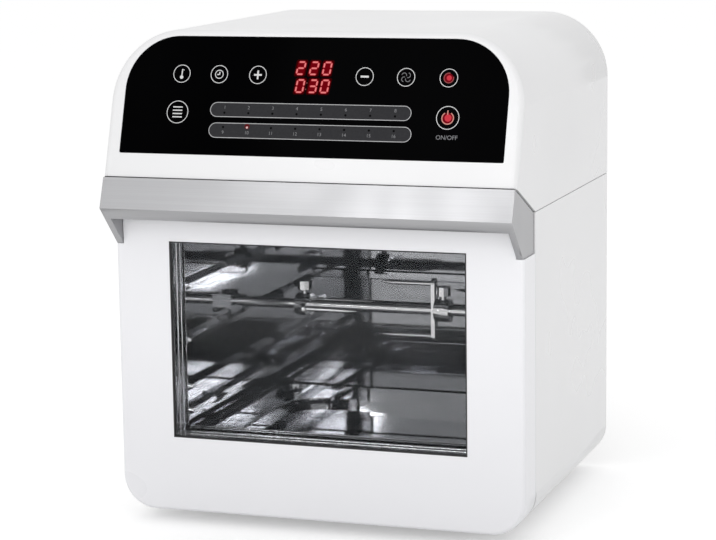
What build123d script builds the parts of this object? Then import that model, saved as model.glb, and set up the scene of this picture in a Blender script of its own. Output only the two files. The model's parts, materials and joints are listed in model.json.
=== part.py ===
from build123d import *
import math
import os

# A digital air-fryer oven with a rotisserie spit, in millimetres.
# +Z is up, the door faces -Y, and the origin is on the table under the middle of the cooker.

# Overall sizes
BODY_WIDTH = 320.0
TOTAL_HEIGHT = 377.0
BODY_DEPTH = 229.0
DOOR_THICKNESS = 30.0
DOOR_GAP = 1.0
HANDLE_REACH = 30.0
FOOT_HEIGHT = 10.0

# Housing
WALL = 2.5
FASCIA_WALL = 4.0
SEAM_DROP = 23.5
SEAM_GAP = 0.5
TOP_RADIUS = 52.0
BOTTOM_RADIUS = 26.0
FASCIA_TILT = 18.0
FASCIA_EDGE_RADIUS = 4.0
FASCIA_HEIGHT = 107.0
FASCIA_OVERHANG = 19.75
FLANGE = 6.0
TONGUE_HEIGHT = 7.0
TONGUE_THICKNESS = 1.6
REAR_RECESS = 3.0
FIT = 0.3
SHEET = 1.0
EDGE_BREAK = 0.5
# A cut runs past the face that it opens by this much
PAST = 1.0
FULL_TURN = 360.0
QUARTER_TURN = 90.0

# Control panel
PANEL_SIDE = 11.5
PANEL_MARGIN = 18.3
PANEL_TOP_MARGIN = 4.9
PANEL_RADIUS = 41.0
PANEL_FOOT_RADIUS = 1.0
PANEL_THICKNESS = 2.0
PANEL_LEDGE = 4.0
BOARD_THICKNESS = 1.6
BOARD_SIDE = 26.5
BOARD_DEPTH = 11.0
BOARD_POST_RADIUS = 3.0
BOARD_FOOT = 16.0
DISPLAY_WIDTH = 46.0
DISPLAY_HEIGHT = 34.0
DISPLAY_X = 0.75
DISPLAY_UP = 60.0
KEY_UPPER_HEIGHT = 60.5
KEY_LOWER_HEIGHT = 31.7
KEY_UPPER_X = (-104.0, -74.0, -44.0, 41.0, 71.0, 103.5)
KEY_LOWER_X = (-104.5, 104.0)
KEY_SPRING_RADIUS = 3.5
KEY_SPRING_WALL = 1.0
GUIDE_HEIGHTS = (34.2, 18.5)
GUIDE_LENGTH = 150.0
GUIDE_WIDTH = 8.0

# Door
DOOR_WALL = 2.5
DOOR_EDGE_RADIUS = 3.0
DOOR_REAR_FOOT_RADIUS = 10.0
WINDOW_SIDE = 43.5
WINDOW_BOTTOM = 67.9
WINDOW_DROP = 27.4
GLASS_OUTER = 3.2
GLASS_INNER = 3.0
GLASS_OVERLAP = 6.0
INNER_WINDOW_STEP = 3.0
LINER = 1.2
PIVOT_BEHIND_FRONT = 18.0
PIVOT_HEIGHT = 26.0
HINGE_INSET = 21.0
HINGE_PLATE = 3.0
HINGE_SLOT = 5.0
HINGE_SWING_CLEARANCE = 0.9
PIN_RADIUS = 3.0
PIN_LENGTH = 13.0
PIN_CLEARANCE = 0.05
PIN_HEAD = 0.8
PIN_HEAD_RADIUS = 4.2
BUSH_WALL = 1.5
BUSH_LENGTH = 9.0
HINGE_BOSS_RADIUS = 8.0
HINGE_ARM_RADIUS = 7.0
HINGE_UPRIGHT_HEIGHT = 37.0
HINGE_UPRIGHT_LENGTH = 30.0
HINGE_UPRIGHT_TOP = 10.0
HINGE_UPRIGHT_REAR = 14.0
HINGE_FOOT_WIDTH = 20.0
HINGE_FOOT_SHEET = 2.0
HINGE_SCREW_STEPS = (9.0, 22.0)
DOOR_BOSS_RADIUS = 4.0
DOOR_SCREW_INSET = 13.0
DOOR_SCREW_BASE = 62.0
DOOR_SCREW_DROP = 41.5
DOOR_SCREW_ROWS = 3
DOOR_SCREW_LENGTH = 10.0
DOOR_SCREW_HEAD = 0.8
STRIKE_THICKNESS = 1.5
SENSOR_MAGNET_WIDTH = 16.0
SENSOR_MAGNET_DEPTH = 3.0

# Handle
HANDLE_GAP = 1.2
HANDLE_WALL = 2.5
HANDLE_NOSE_RISE = 0.5
HANDLE_FACE = 30.6
HANDLE_LIP = 12.5
HANDLE_TOP_SETBACK = 1.8
HANDLE_BRACKET = 5.0
HANDLE_END_INSET = 1.0
HANDLE_REAR_RADIUS = 2.0
HANDLE_WEB_DROP = 7.0
HANDLE_WEB = 2.5

# Cooking space
SIDE_SPACE = 35.0
REAR_SPACE = 24.0
CAVITY_FLOOR = 48.0
CEILING_DROP = 14.5
MOUTH_RADIUS = 8.0
FRAME_SETBACK = 0.5
FRAME_THICKNESS = 1.5
GASKET_WIDTH = 4.5
GASKET_MARGIN = 2.0
RAIL_FLOOR_GAP = 12.0
RAIL_PITCH = 19.0
RAIL_BELOW_SPIT = 15.0
RAIL_ABOVE_SPIT = 28.0
RAIL_WIDTH = 10.0
RAIL_DEPTH = 6.5
RAIL_END_MARGIN = 7.0
RAIL_TAPER = 24.0
RIB_FLOOR_GAP = 32.0
RIB_PITCH = 26.0
RIB_CEILING_GAP = 40.0
RIB_WIDTH = 8.0
RIB_DEPTH = 2.5
RIB_SIDE = 22.0

# Drip tray
TRAY_SIDE = 13.0
TRAY_HEIGHT = 13.0
TRAY_REAR_GAP = 4.0
TRAY_FRONT_GAP = 7.0
TRAY_RADIUS = 14.0
TRAY_WELL_MARGIN = 16.0
TRAY_WELL_RADIUS = 30.0
TRAY_RIM_DROP = 7.0
TRAY_LIP_LENGTH = 60.0
TRAY_LIP_REACH = 2.0
TRAY_LIP_THICKNESS = 2.0

# Rotisserie
SPIT_DROP = 82.0
SPIT_RADIUS = 4.0
SPIT_CLEARANCE = 0.06
NECK_RADIUS = 3.0
NECK_LENGTH = 5.0
SPIT_TIP_GAP = 2.0
SOCKET_RADIUS = 9.0
SOCKET_LENGTH = 12.0
SOCKET_GAP = 1.0
SOCKET_DEPTH = 9.0
SPIT_END_GAP = 1.0
SPIT_SQUARE = 5.4
DRIVE_SHAFT_RADIUS = 3.0
DRIVE_SHAFT_LENGTH = 10.0
DRIVE_HOLE_GAP = 1.0
SOCKET_CHAMFER = 1.0
SUPPORT_STANDOFF = 6.0
SUPPORT_PLATE = 2.0
SUPPORT_TAB = 2.0
SUPPORT_WIDTH = 26.0
SUPPORT_DROP = 9.0
SUPPORT_RISE = 7.0
SUPPORT_RADIUS = 5.0
FORK_X = 58.0
FORK_HUB_RADIUS = 9.0
FORK_HUB_LENGTH = 12.0
FORK_SPAN = 42.0
FORK_BAR_WIDTH = 9.0
FORK_BAR_THICKNESS = 3.0
TINE_RADIUS = 1.8
TINE_LENGTH = 42.0
TINE_POINT = 9.0
TINE_TIP_RADIUS = 0.4
TINE_ROOT = 0.5
THUMB_RADIUS = 2.5
THUMB_HEAD_RADIUS = 6.0
THUMB_HEAD_HEIGHT = 7.0
THUMB_NECK = 3.0
GEARBOX_RADIUS = 24.0
GEARBOX_THICKNESS = 17.0
GEARBOX_EAR = 32.0
GEARBOX_EAR_WIDTH = 12.0
GEARBOX_EAR_SHEET = 3.0
SPIT_MOTOR_RADIUS = 13.0
SPIT_MOTOR_LENGTH = 8.0
SPIT_MOTOR_OFFSET = 6.0

# Convection heater and fan
SHROUD_MARGIN = 11.5
OPENING_INSET = 6.0
SHROUD_HEIGHT = 34.0
SHROUD_FLANGE = 7.0
SHROUD_EDGE = 6.0
GUARD_INSET = 2.0
GUARD_RINGS = (30.0, 52.0, 72.0)
GUARD_SLOT_WIDTH = 7.0
GUARD_SLOTS = 6
HEATER_RADIUS = 3.2
HEATER_RISE = 9.0
HEATER_INSET = 14.0
HEATER_PITCH = 16.0
HEATER_SWEEP = 300.0
HEATER_BEND = 10.0
HEATER_LEAD = 12.0
LEAD_CLEARANCE = 0.5
SHIELD_LEAD_GAP = 2.0
CLIP_ANGLES = (0.0, 180.0, 270.0)
CLIP_WIDTH = 5.0
CLIP_SHEET = 1.2
FAN_GAP = 6.0
FAN_BLADES = 8
FAN_BLADE_HEIGHT = 13.0
FAN_PLATE = 1.2
FAN_TOP_GAP = 5.0
FAN_HUB_RADIUS = 8.0
FAN_BLADE_START = 4.0
FAN_RIM = 2.0
FAN_BLADE_LEAN = 18.0
FAN_BLADE_ROOT = 0.05
FAN_NUT_RADIUS = 6.5
FAN_NUT_HEIGHT = 3.7
SHAFT_END = 2.0
SHAFT_HOLE_GAP = 2.0
SHAFT_RADIUS = 4.0
SHAFT_CLEARANCE = 0.05
SHIELD_RISE = 37.0
SHIELD_SETBACK = 13.5
COOLING_RADIUS = 46.0
COOLING_GAP = 5.0
COOLING_HEIGHT = 11.0
BRACKET_SIDE = 100.0
BRACKET_RISE = 24.0
BRACKET_PLATE = 2.0
BRACKET_LEG = 8.0
BRACKET_CORNER = 6.0
MOTOR_RADIUS = 31.0
MOTOR_HEIGHT = 34.0
MOTOR_CAP_RADIUS = 12.0
MOTOR_CAP_HEIGHT = 6.0
MOTOR_CAP_TOP = 2.0
MOTOR_CHAMFER = 3.0

# Electrics
POWER_BOARD_MARGIN = 7.0
POWER_BOARD_LENGTH = 120.0
POWER_BOARD_GAP = 8.0
POWER_BOARD_RISE = 10.0
STANDOFF_RADIUS = 3.0
STANDOFF_INSET = 5.0
TRANSFORMER = (32.0, 28.0, 24.0)
TRANSFORMER_PLACE = (6.0, 12.0)
RELAY = (16.0, 20.0, 15.0)
RELAY_PLACE = (6.0, 56.0)
CAPACITOR_RADIUS = 6.0
CAPACITOR_HEIGHT = 20.0
CAPACITOR_PITCH = 16.0
CAPACITOR_COUNT = 3
CAPACITOR_PLACE = (12.0, 58.0)
CUT_OUT_RADIUS = 8.0
CUT_OUT_HEIGHT = 2.5
LAMP_FROM_BACK = 43.0
LAMP_DROP = 25.0
LAMP_COVER_RADIUS = 19.0
LAMP_RIM = 3.0
LAMP_DOME = 5.0
LAMP_HOLDER_LENGTH = 20.0
LAMP_HOLDER_RADIUS = 15.0
LAMP_FLANGE = 3.0
LAMP_GLASS = 2.0
LAMP_EDGE = 2.2
BULB_TIP = 2.4
BULB_RADIUS = 7.0
BULB_LENGTH = 6.0
PROBE_RADIUS = 2.5
PROBE_LENGTH = 12.0
PROBE_FROM_BACK = 26.0
PROBE_DROP = 14.0
MAGNET_X = 100.0
MAGNET_LENGTH = 24.0
MAGNET_HEIGHT = 7.0
MAGNET_DEPTH = 8.0
SENSOR_X = 60.0
SENSOR_WIDTH = 24.0
SENSOR_HEIGHT = 9.0
GLAND_INSET = 42.0
GLAND_HEIGHT = 34.0
GLAND_RADIUS = 6.0
GLAND_FLANGE = 9.5
GLAND_FLANGE_THICKNESS = 2.2

# Rear panel, feet and fasteners
LOUVRE_LENGTH = 62.0
LOUVRE_WIDTH = 3.6
LOUVRE_ROWS = 7
LOUVRE_PITCH = 10.0
LOUVRE_X = 58.0
LOUVRE_RISE = 21.5
VENT_LENGTH = 70.0
VENT_WIDTH = 3.6
VENT_COUNT = 5
VENT_PITCH = 11.0
FOOT_INSET = 48.0
FOOT_FRONT = 60.0
FOOT_REAR = 32.0
FOOT_TOP_RADIUS = 12.0
FOOT_TREAD_RADIUS = 10.0
SCREW_RADIUS = 1.6
SCREW_HEAD_RADIUS = 3.2
SCREW_HEAD = 1.6
SCREW_CLEARANCE = 0.1
SCREW_HEAD_CLEARANCE = 0.4
REAR_SCREW_BASE = 120.0
REAR_SCREW_RISE = 43.5

# Derived places
HALF_WIDTH = BODY_WIDTH / 2
FASCIA_BASE_HEIGHT = TOTAL_HEIGHT - FASCIA_HEIGHT
SEAM_HEIGHT = FASCIA_BASE_HEIGHT - SEAM_DROP
HANDLE_FRONT = -(HANDLE_REACH + DOOR_THICKNESS + DOOR_GAP + BODY_DEPTH) / 2
DOOR_FRONT = HANDLE_FRONT + HANDLE_REACH
DOOR_BACK = DOOR_FRONT + DOOR_THICKNESS
BODY_FRONT = DOOR_BACK + DOOR_GAP
REAR = BODY_FRONT + BODY_DEPTH
PIVOT_Y = DOOR_FRONT + PIVOT_BEHIND_FRONT
FRAME_FRONT = BODY_FRONT + FRAME_SETBACK
FRAME_BACK = FRAME_FRONT + FRAME_THICKNESS
CAVITY_BACK = REAR - REAR_SPACE
CAVITY_DEPTH = CAVITY_BACK - FRAME_BACK
CAVITY_MIDDLE = (FRAME_BACK + CAVITY_BACK) / 2
CAVITY_HALF = HALF_WIDTH - SIDE_SPACE
CAVITY_WIDTH = 2 * CAVITY_HALF
CAVITY_CEILING = SEAM_HEIGHT - CEILING_DROP
SPIT_HEIGHT = CAVITY_CEILING - SPIT_DROP
CEILING_TOP = CAVITY_CEILING + SHEET
SHROUD_TOP = CEILING_TOP + SHROUD_HEIGHT
SHIELD_TOP = CEILING_TOP + SHIELD_RISE + SHEET
BRACKET_TOP = SHIELD_TOP + BRACKET_RISE
FASCIA_BASE_Y = DOOR_FRONT - FASCIA_OVERHANG
SIN_TILT = math.sin(math.radians(FASCIA_TILT))
COS_TILT = math.cos(math.radians(FASCIA_TILT))
PANEL_WIDTH = BODY_WIDTH - 2 * PANEL_SIDE
PANEL_HEIGHT = FASCIA_HEIGHT / COS_TILT - PANEL_MARGIN - PANEL_TOP_MARGIN
BOARD_WIDTH = PANEL_WIDTH - 2 * BOARD_SIDE
FASCIA_TOP_Y = FASCIA_BASE_Y + (TOTAL_HEIGHT - FASCIA_BASE_HEIGHT) * SIN_TILT / COS_TILT
FASCIA = Plane(
    origin=(0, FASCIA_BASE_Y, FASCIA_BASE_HEIGHT),
    x_dir=(1, 0, 0),
    z_dir=(0, -COS_TILT, SIN_TILT),
)
REAR_PANEL_BACK = REAR - REAR_RECESS
REAR_PANEL_FRONT = REAR_PANEL_BACK - WALL
LEDGE_FRONT = REAR_PANEL_FRONT - FIT - WALL
HANDLE_NOSE_HEIGHT = SEAM_HEIGHT + HANDLE_NOSE_RISE
HANDLE_TIP_HEIGHT = HANDLE_NOSE_HEIGHT - HANDLE_FACE
WINDOW_WIDTH = BODY_WIDTH - 2 * WINDOW_SIDE
WINDOW_TOP = SEAM_HEIGHT - WINDOW_DROP
HINGE_X = HALF_WIDTH - HINGE_INSET
SHROUD_RADIUS = CAVITY_DEPTH / 2 - SHROUD_MARGIN
HEATER_OUTER_RADIUS = SHROUD_RADIUS - HEATER_INSET
HEATER_INNER_RADIUS = HEATER_OUTER_RADIUS - HEATER_PITCH
FAN_RADIUS = HEATER_INNER_RADIUS - FAN_GAP
LAMP_Y = CAVITY_BACK - LAMP_FROM_BACK
LAMP_HEIGHT = CAVITY_CEILING - LAMP_DROP
LOWER_TOP = SEAM_HEIGHT - SEAM_GAP / 2
UPPER_BASE = SEAM_HEIGHT + SEAM_GAP / 2
SWING_RADIUS = HINGE_SWING_CLEARANCE + DOOR_REAR_FOOT_RADIUS + math.hypot(
    DOOR_THICKNESS - DOOR_REAR_FOOT_RADIUS - PIVOT_BEHIND_FRONT,
    PIVOT_HEIGHT - FOOT_HEIGHT - DOOR_REAR_FOOT_RADIUS,
)
FRAME_BOTTOM = PIVOT_HEIGHT + FIT + math.sqrt(
    (SWING_RADIUS + WALL) ** 2 - (BODY_FRONT - PIVOT_Y) ** 2
)


# Helpers: sketches are drawn in the named plane and stretched between two places
def along_x(sketch, start, end):
    return Pos(start, 0, 0) * extrude(Plane.YZ * sketch, amount=end - start, dir=(1, 0, 0))


def along_y(sketch, start, end):
    return Pos(0, start, 0) * extrude(Plane.XZ * sketch, amount=end - start, dir=(0, 1, 0))


def along_z(sketch, start, end):
    return Pos(0, 0, start) * extrude(sketch, amount=end - start)


def block(x0, x1, y0, y1, z0, z1):
    return Pos((x0 + x1) / 2, (y0 + y1) / 2, (z0 + z1) / 2) * Box(x1 - x0, y1 - y0, z1 - z0)


def rod_x(radius, start, end, y, z):
    return along_x(Pos(y, z) * Circle(radius), start, end)


def rod_y(radius, start, end, x, z):
    return along_y(Pos(x, z) * Circle(radius), start, end)


def rod_z(radius, start, end, x, y):
    return along_z(Pos(x, y) * Circle(radius), start, end)


def on_fascia(sketch, depth, length):
    return extrude(FASCIA.offset(-depth) * sketch, amount=-length)


def both_sides(solid):
    return [solid, solid.mirror(Plane.YZ)]


def save(name, *pieces):
    solids = []
    for piece in pieces:
        solids.extend(piece.solids())
    shape = solids[0] if len(solids) == 1 else Compound(children=solids)
    shape.label = name
    export_step(shape, os.path.join("parts", name + ".step"))


# Outlines seen from the front
def lower_outline(inset, top=SEAM_HEIGHT):
    bottom = FOOT_HEIGHT + inset
    sketch = Pos(0, (bottom + top) / 2) * Rectangle(BODY_WIDTH - 2 * inset, top - bottom)
    return fillet(sketch.vertices().sort_by(Axis.Y)[:2], BOTTOM_RADIUS - inset)


def upper_outline(inset, base=SEAM_HEIGHT):
    top = TOTAL_HEIGHT - inset
    sketch = Pos(0, (base + top) / 2) * Rectangle(BODY_WIDTH - 2 * inset, top - base)
    return fillet(sketch.vertices().sort_by(Axis.Y)[-2:], TOP_RADIUS - inset)


def whole_outline(inset):
    return lower_outline(inset) + upper_outline(inset)


def panel_outline(grow):
    width = PANEL_WIDTH + 2 * grow
    height = PANEL_HEIGHT + 2 * grow
    sketch = Pos(0, PANEL_MARGIN + PANEL_HEIGHT / 2) * Rectangle(width, height)
    sketch = fillet(sketch.vertices().sort_by(Axis.Y)[-2:], PANEL_RADIUS + grow)
    return fillet(sketch.vertices().sort_by(Axis.Y)[:2], max(PANEL_FOOT_RADIUS + grow, EDGE_BREAK))


def mouth_outline(grow):
    middle = (CAVITY_FLOOR + CAVITY_CEILING) / 2
    height = CAVITY_CEILING - CAVITY_FLOOR
    return Pos(0, middle) * RectangleRounded(
        CAVITY_WIDTH + 2 * grow, height + 2 * grow, MOUTH_RADIUS + grow
    )


# The sloping joint between the housing and the handle, seen from the side
SLOPE_RUN = BODY_FRONT - FASCIA_BASE_Y
SLOPE_RISE = FASCIA_BASE_HEIGHT - SEAM_HEIGHT
SLOPE_LENGTH = math.hypot(SLOPE_RUN, SLOPE_RISE)


def slope_height(y, drop):
    """Height of the line that lies drop below the housing's sloping underside."""
    level = FASCIA_BASE_HEIGHT - (y - FASCIA_BASE_Y) * SLOPE_RISE / SLOPE_RUN
    return level - drop * SLOPE_LENGTH / SLOPE_RUN


def fascia_y(height, depth):
    """Place of the fascia plane, or of one depth behind it, at a height."""
    return FASCIA_BASE_Y + (height - FASCIA_BASE_HEIGHT) * SIN_TILT / COS_TILT + depth / COS_TILT


# Upper housing: an arched shell with a tilted fascia
def make_upper_housing():
    far = REAR + WALL
    side = Polygon(
        (REAR, UPPER_BASE),
        (BODY_FRONT, UPPER_BASE),
        (FASCIA_BASE_Y, FASCIA_BASE_HEIGHT),
        (FASCIA_TOP_Y, TOTAL_HEIGHT),
        (REAR, TOTAL_HEIGHT),
        align=None,
    )
    arch = along_y(upper_outline(0, UPPER_BASE), HANDLE_FRONT, REAR)
    shell = arch & along_x(side, -HALF_WIDTH, HALF_WIDTH)
    rim = []
    for edge in shell.edges():
        middle = edge @ 0.5
        level = FASCIA.to_local_coords(middle)
        if abs(level.Z) < 0.01 and level.Y > 1:
            rim.append(edge)
    shell = fillet(rim, FASCIA_EDGE_RADIUS)
    low = UPPER_BASE - WALL
    corner_y = fascia_y(FASCIA_BASE_HEIGHT + WALL, FASCIA_WALL)
    hollow_side = Polygon(
        (far, low),
        (BODY_FRONT + WALL, low),
        (BODY_FRONT + WALL, slope_height(BODY_FRONT + WALL, -WALL)),
        (corner_y, slope_height(corner_y, -WALL)),
        (fascia_y(TOTAL_HEIGHT, FASCIA_WALL), TOTAL_HEIGHT),
        (far, TOTAL_HEIGHT),
        align=None,
    )
    hollow = along_y(upper_outline(WALL, low), HANDLE_FRONT, far)
    hollow = hollow & along_x(hollow_side, -HALF_WIDTH, HALF_WIDTH)
    ledge = along_y(upper_outline(0, UPPER_BASE), LEDGE_FRONT, LEDGE_FRONT + WALL)
    ledge = ledge - along_y(upper_outline(WALL + FLANGE, low), LEDGE_FRONT - WALL, far)
    shell = shell - hollow + ledge
    for part in both_sides(make_tongue()):
        shell = shell + part
    shell = shell - on_fascia(panel_outline(FIT), 0, PANEL_THICKNESS + FIT)
    shell = shell - on_fascia(panel_outline(-PANEL_LEDGE), 0, 2 * FASCIA_WALL)
    post_x = BOARD_WIDTH / 2 - 2 * BOARD_POST_RADIUS
    for x in (-post_x, post_x):
        post = Pos(x, PANEL_MARGIN - PANEL_LEDGE) * Circle(BOARD_POST_RADIUS)
        shell = shell + on_fascia(post, FASCIA_WALL / 2, BOARD_DEPTH - FASCIA_WALL / 2)
    for x, z in rear_screw_places():
        if z > SEAM_HEIGHT:
            shell = shell - rod_y(SCREW_RADIUS + SCREW_CLEARANCE, LEDGE_FRONT - PAST, REAR, x, z)
    save("upper_housing", shell)


def make_tongue():
    """A strip along the foot of the upper housing that reaches down inside the lower one."""
    outer = HALF_WIDTH - WALL - FIT
    inner = outer - TONGUE_THICKNESS
    start = FRAME_BACK + WALL + FIT
    end = LEDGE_FRONT - FIT
    strip = block(inner, outer, start, end, SEAM_HEIGHT - TONGUE_HEIGHT, SEAM_HEIGHT + TONGUE_HEIGHT)
    return strip + block(inner, HALF_WIDTH - WALL / 2, start, end, UPPER_BASE, SEAM_HEIGHT + TONGUE_HEIGHT)


def rear_screw_places():
    inset = WALL + FIT + SCREW_HEAD_RADIUS
    edge = HALF_WIDTH - inset
    heights = (REAR_SCREW_BASE, SEAM_HEIGHT + REAR_SCREW_RISE)
    places = [(side * edge, z) for side in (-1, 1) for z in heights]
    return places + [(0.0, TOTAL_HEIGHT - inset), (0.0, FOOT_HEIGHT + inset)]


# Lower housing: a wrap round the bottom and both sides, scooped at the front for the door's swing
def make_lower_housing():
    far = REAR + WALL
    shell = along_y(lower_outline(0, LOWER_TOP), BODY_FRONT, REAR)
    swing = rod_x(SWING_RADIUS, -HALF_WIDTH - PAST, HALF_WIDTH + PAST, PIVOT_Y, PIVOT_HEIGHT)
    under = block(
        -HALF_WIDTH - PAST, HALF_WIDTH + PAST, BODY_FRONT - PAST, PIVOT_Y + SWING_RADIUS, 0, PIVOT_HEIGHT
    )
    shell = shell - swing - under
    hollow = along_y(lower_outline(WALL, SEAM_HEIGHT + PAST), BODY_FRONT - PAST, far)
    lip = rod_x(SWING_RADIUS + WALL, -HALF_WIDTH, HALF_WIDTH, PIVOT_Y, PIVOT_HEIGHT)
    lip = lip + block(
        -HALF_WIDTH, HALF_WIDTH, BODY_FRONT - PAST, PIVOT_Y + SWING_RADIUS + WALL, 0, PIVOT_HEIGHT
    )
    shell = shell - (hollow - lip)
    front_flange = block(
        HALF_WIDTH - WALL - FLANGE, HALF_WIDTH - WALL / 2,
        FRAME_BACK, FRAME_BACK + WALL,
        FRAME_BOTTOM, LOWER_TOP - TONGUE_HEIGHT,
    )
    rear_ledge = along_y(lower_outline(0, LOWER_TOP), LEDGE_FRONT, LEDGE_FRONT + WALL)
    rear_ledge = rear_ledge - along_y(
        lower_outline(WALL + FLANGE, SEAM_HEIGHT + PAST), LEDGE_FRONT - PAST, far
    )
    shell = shell + rear_ledge
    for part in both_sides(front_flange):
        shell = shell + part
    slot_height = 2 * (HINGE_BOSS_RADIUS + FIT)
    for x in (-HINGE_X, HINGE_X):
        shell = shell - block(
            x - HINGE_SLOT / 2,
            x + HINGE_SLOT / 2,
            BODY_FRONT,
            PIVOT_Y + SWING_RADIUS + 2 * WALL,
            PIVOT_HEIGHT - slot_height / 2,
            PIVOT_HEIGHT + slot_height / 2,
        )
    middle = (VENT_COUNT - 1) / 2
    for row in range(VENT_COUNT):
        place = Pos(0, CAVITY_MIDDLE + (row - middle) * VENT_PITCH)
        slot = SlotOverall(VENT_LENGTH, VENT_WIDTH)
        for side in (-1, 1):
            shift = Pos(side * (VENT_LENGTH / 2 + VENT_PITCH / 2), 0)
            shell = shell - along_z(shift * place * slot, 0, FOOT_HEIGHT + 2 * WALL)
    hole = SCREW_RADIUS + SCREW_CLEARANCE
    for x, y in foot_places() + hinge_screw_places():
        shell = shell - rod_z(hole, 0, FOOT_HEIGHT + 2 * WALL, x, y)
    for x, z in rear_screw_places():
        if z < SEAM_HEIGHT:
            shell = shell - rod_y(hole, LEDGE_FRONT - PAST, REAR, x, z)
    save("lower_housing", shell)


def foot_places():
    front = BODY_FRONT + FOOT_FRONT - DOOR_THICKNESS
    rear = REAR - FOOT_REAR
    edge = HALF_WIDTH - FOOT_INSET
    return [(x, y) for x in (-edge, edge) for y in (front, rear)]


def make_feet():
    feet = []
    screws = []
    for x, y in foot_places():
        foot = Pos(x, y, FOOT_HEIGHT / 2) * Cone(FOOT_TREAD_RADIUS, FOOT_TOP_RADIUS, FOOT_HEIGHT)
        foot = foot - rod_z(SCREW_HEAD_RADIUS + SCREW_HEAD_CLEARANCE, -1, FOOT_HEIGHT / 2, x, y)
        foot = foot - rod_z(SCREW_RADIUS + SCREW_CLEARANCE, 0, FOOT_HEIGHT + PAST, x, y)
        feet.append(foot)
        head = rod_z(SCREW_HEAD_RADIUS, FOOT_HEIGHT / 2 - SCREW_HEAD, FOOT_HEIGHT / 2, x, y)
        screws.append(head + rod_z(SCREW_RADIUS, FOOT_HEIGHT / 2, FOOT_HEIGHT + 2 * WALL, x, y))
    for x, y in hinge_screw_places():
        head = rod_z(SCREW_HEAD_RADIUS, FOOT_HEIGHT - SCREW_HEAD, FOOT_HEIGHT, x, y)
        screws.append(head + rod_z(SCREW_RADIUS, FOOT_HEIGHT, FOOT_HEIGHT + 3 * WALL, x, y))
    save("feet", *feet)
    save("base_screws", *screws)


# Rear panel with exhaust louvres, its screws and the cord inlet
def make_rear_panel():
    panel = along_y(whole_outline(WALL + FIT), REAR_PANEL_FRONT, REAR_PANEL_BACK)
    for row in range(LOUVRE_ROWS):
        for x in (-LOUVRE_X, LOUVRE_X):
            height = SEAM_HEIGHT + LOUVRE_RISE + row * LOUVRE_PITCH
            slot = Pos(x, height) * SlotOverall(LOUVRE_LENGTH, LOUVRE_WIDTH)
            panel = panel - along_y(slot, REAR_PANEL_FRONT - PAST, REAR_PANEL_BACK + PAST)
    screws = []
    for x, z in rear_screw_places():
        panel = panel - rod_y(SCREW_RADIUS + SCREW_CLEARANCE, REAR_PANEL_FRONT - PAST, REAR, x, z)
        head = rod_y(SCREW_HEAD_RADIUS, REAR_PANEL_BACK, REAR_PANEL_BACK + SCREW_HEAD, x, z)
        screws.append(head + rod_y(SCREW_RADIUS, LEDGE_FRONT - WALL, REAR_PANEL_BACK, x, z))
    gland_x = GLAND_INSET - HALF_WIDTH
    inlet = GLAND_RADIUS + SCREW_CLEARANCE
    panel = panel - rod_y(inlet, REAR_PANEL_FRONT - PAST, REAR, gland_x, GLAND_HEIGHT)
    gland = rod_y(GLAND_RADIUS, REAR_PANEL_FRONT - 2 * WALL, REAR_PANEL_BACK, gland_x, GLAND_HEIGHT)
    flange_end = REAR_PANEL_BACK + GLAND_FLANGE_THICKNESS
    gland = gland + rod_y(GLAND_FLANGE, REAR_PANEL_BACK, flange_end, gland_x, GLAND_HEIGHT)
    gland = gland - rod_y(GLAND_RADIUS / 2, REAR_PANEL_BACK - WALL, REAR, gland_x, GLAND_HEIGHT)
    save("rear_panel", panel)
    save("rear_panel_screws", *screws)
    save("cord_gland", gland)


# Control panel, its circuit board, display block and touch springs
def make_control_panel():
    save("control_panel", on_fascia(panel_outline(0), 0, PANEL_THICKNESS))
    middle = PANEL_MARGIN + PANEL_HEIGHT / 2
    board = Pos(0, middle) * Rectangle(BOARD_WIDTH, PANEL_HEIGHT - 2 * PANEL_LEDGE)
    foot = Pos(0, PANEL_MARGIN) * Rectangle(BOARD_WIDTH, BOARD_FOOT)
    save("control_board", on_fascia(board + foot, BOARD_DEPTH, BOARD_THICKNESS))
    window = Pos(DISPLAY_X, PANEL_MARGIN + DISPLAY_UP) * Rectangle(DISPLAY_WIDTH, DISPLAY_HEIGHT)
    depth = PANEL_THICKNESS + FIT
    save("display_block", on_fascia(window, depth, BOARD_DEPTH - depth))
    springs = []
    places = [(x, KEY_UPPER_HEIGHT) for x in KEY_UPPER_X] + [(x, KEY_LOWER_HEIGHT) for x in KEY_LOWER_X]
    section = Circle(KEY_SPRING_RADIUS) - Circle(KEY_SPRING_RADIUS - KEY_SPRING_WALL)
    for x, up in places:
        ring = Pos(x, PANEL_MARGIN + up) * section
        springs.append(on_fascia(ring, depth, BOARD_DEPTH - depth))
    save("key_springs", *springs)
    bars = []
    for up in GUIDE_HEIGHTS:
        bar = Pos(0, PANEL_MARGIN + up) * Rectangle(GUIDE_LENGTH, GUIDE_WIDTH)
        bars.append(on_fascia(bar, depth, BOARD_DEPTH - depth))
    save("indicator_light_guides", *bars)


# Steel frame round the mouth of the oven, and the seal on it
def make_front_frame():
    width = BODY_WIDTH - 2 * (WALL + FIT)
    height = LOWER_TOP - FIT - FRAME_BOTTOM
    plate = Pos(0, FRAME_BOTTOM + height / 2) * Rectangle(width, height)
    plate = plate - mouth_outline(0)
    save("front_frame", along_y(plate, FRAME_FRONT, FRAME_BACK))
    ring = mouth_outline(GASKET_MARGIN + GASKET_WIDTH) - mouth_outline(GASKET_MARGIN)
    save("door_gasket", along_y(ring, inner_panel_front() + LINER + FIT, FRAME_FRONT))


# Oven walls in pressed sheet
def pressed_rail(plane, length, width, depth, taper, sheet):
    slot = SlotOverall(length, width)
    outer = extrude(plane * slot, amount=depth, taper=taper)
    inner_slot = SlotOverall(length - 2 * sheet, width - 2 * sheet)
    inner = extrude(plane.offset(-sheet) * inner_slot, amount=depth, taper=taper)
    return outer, inner


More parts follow.
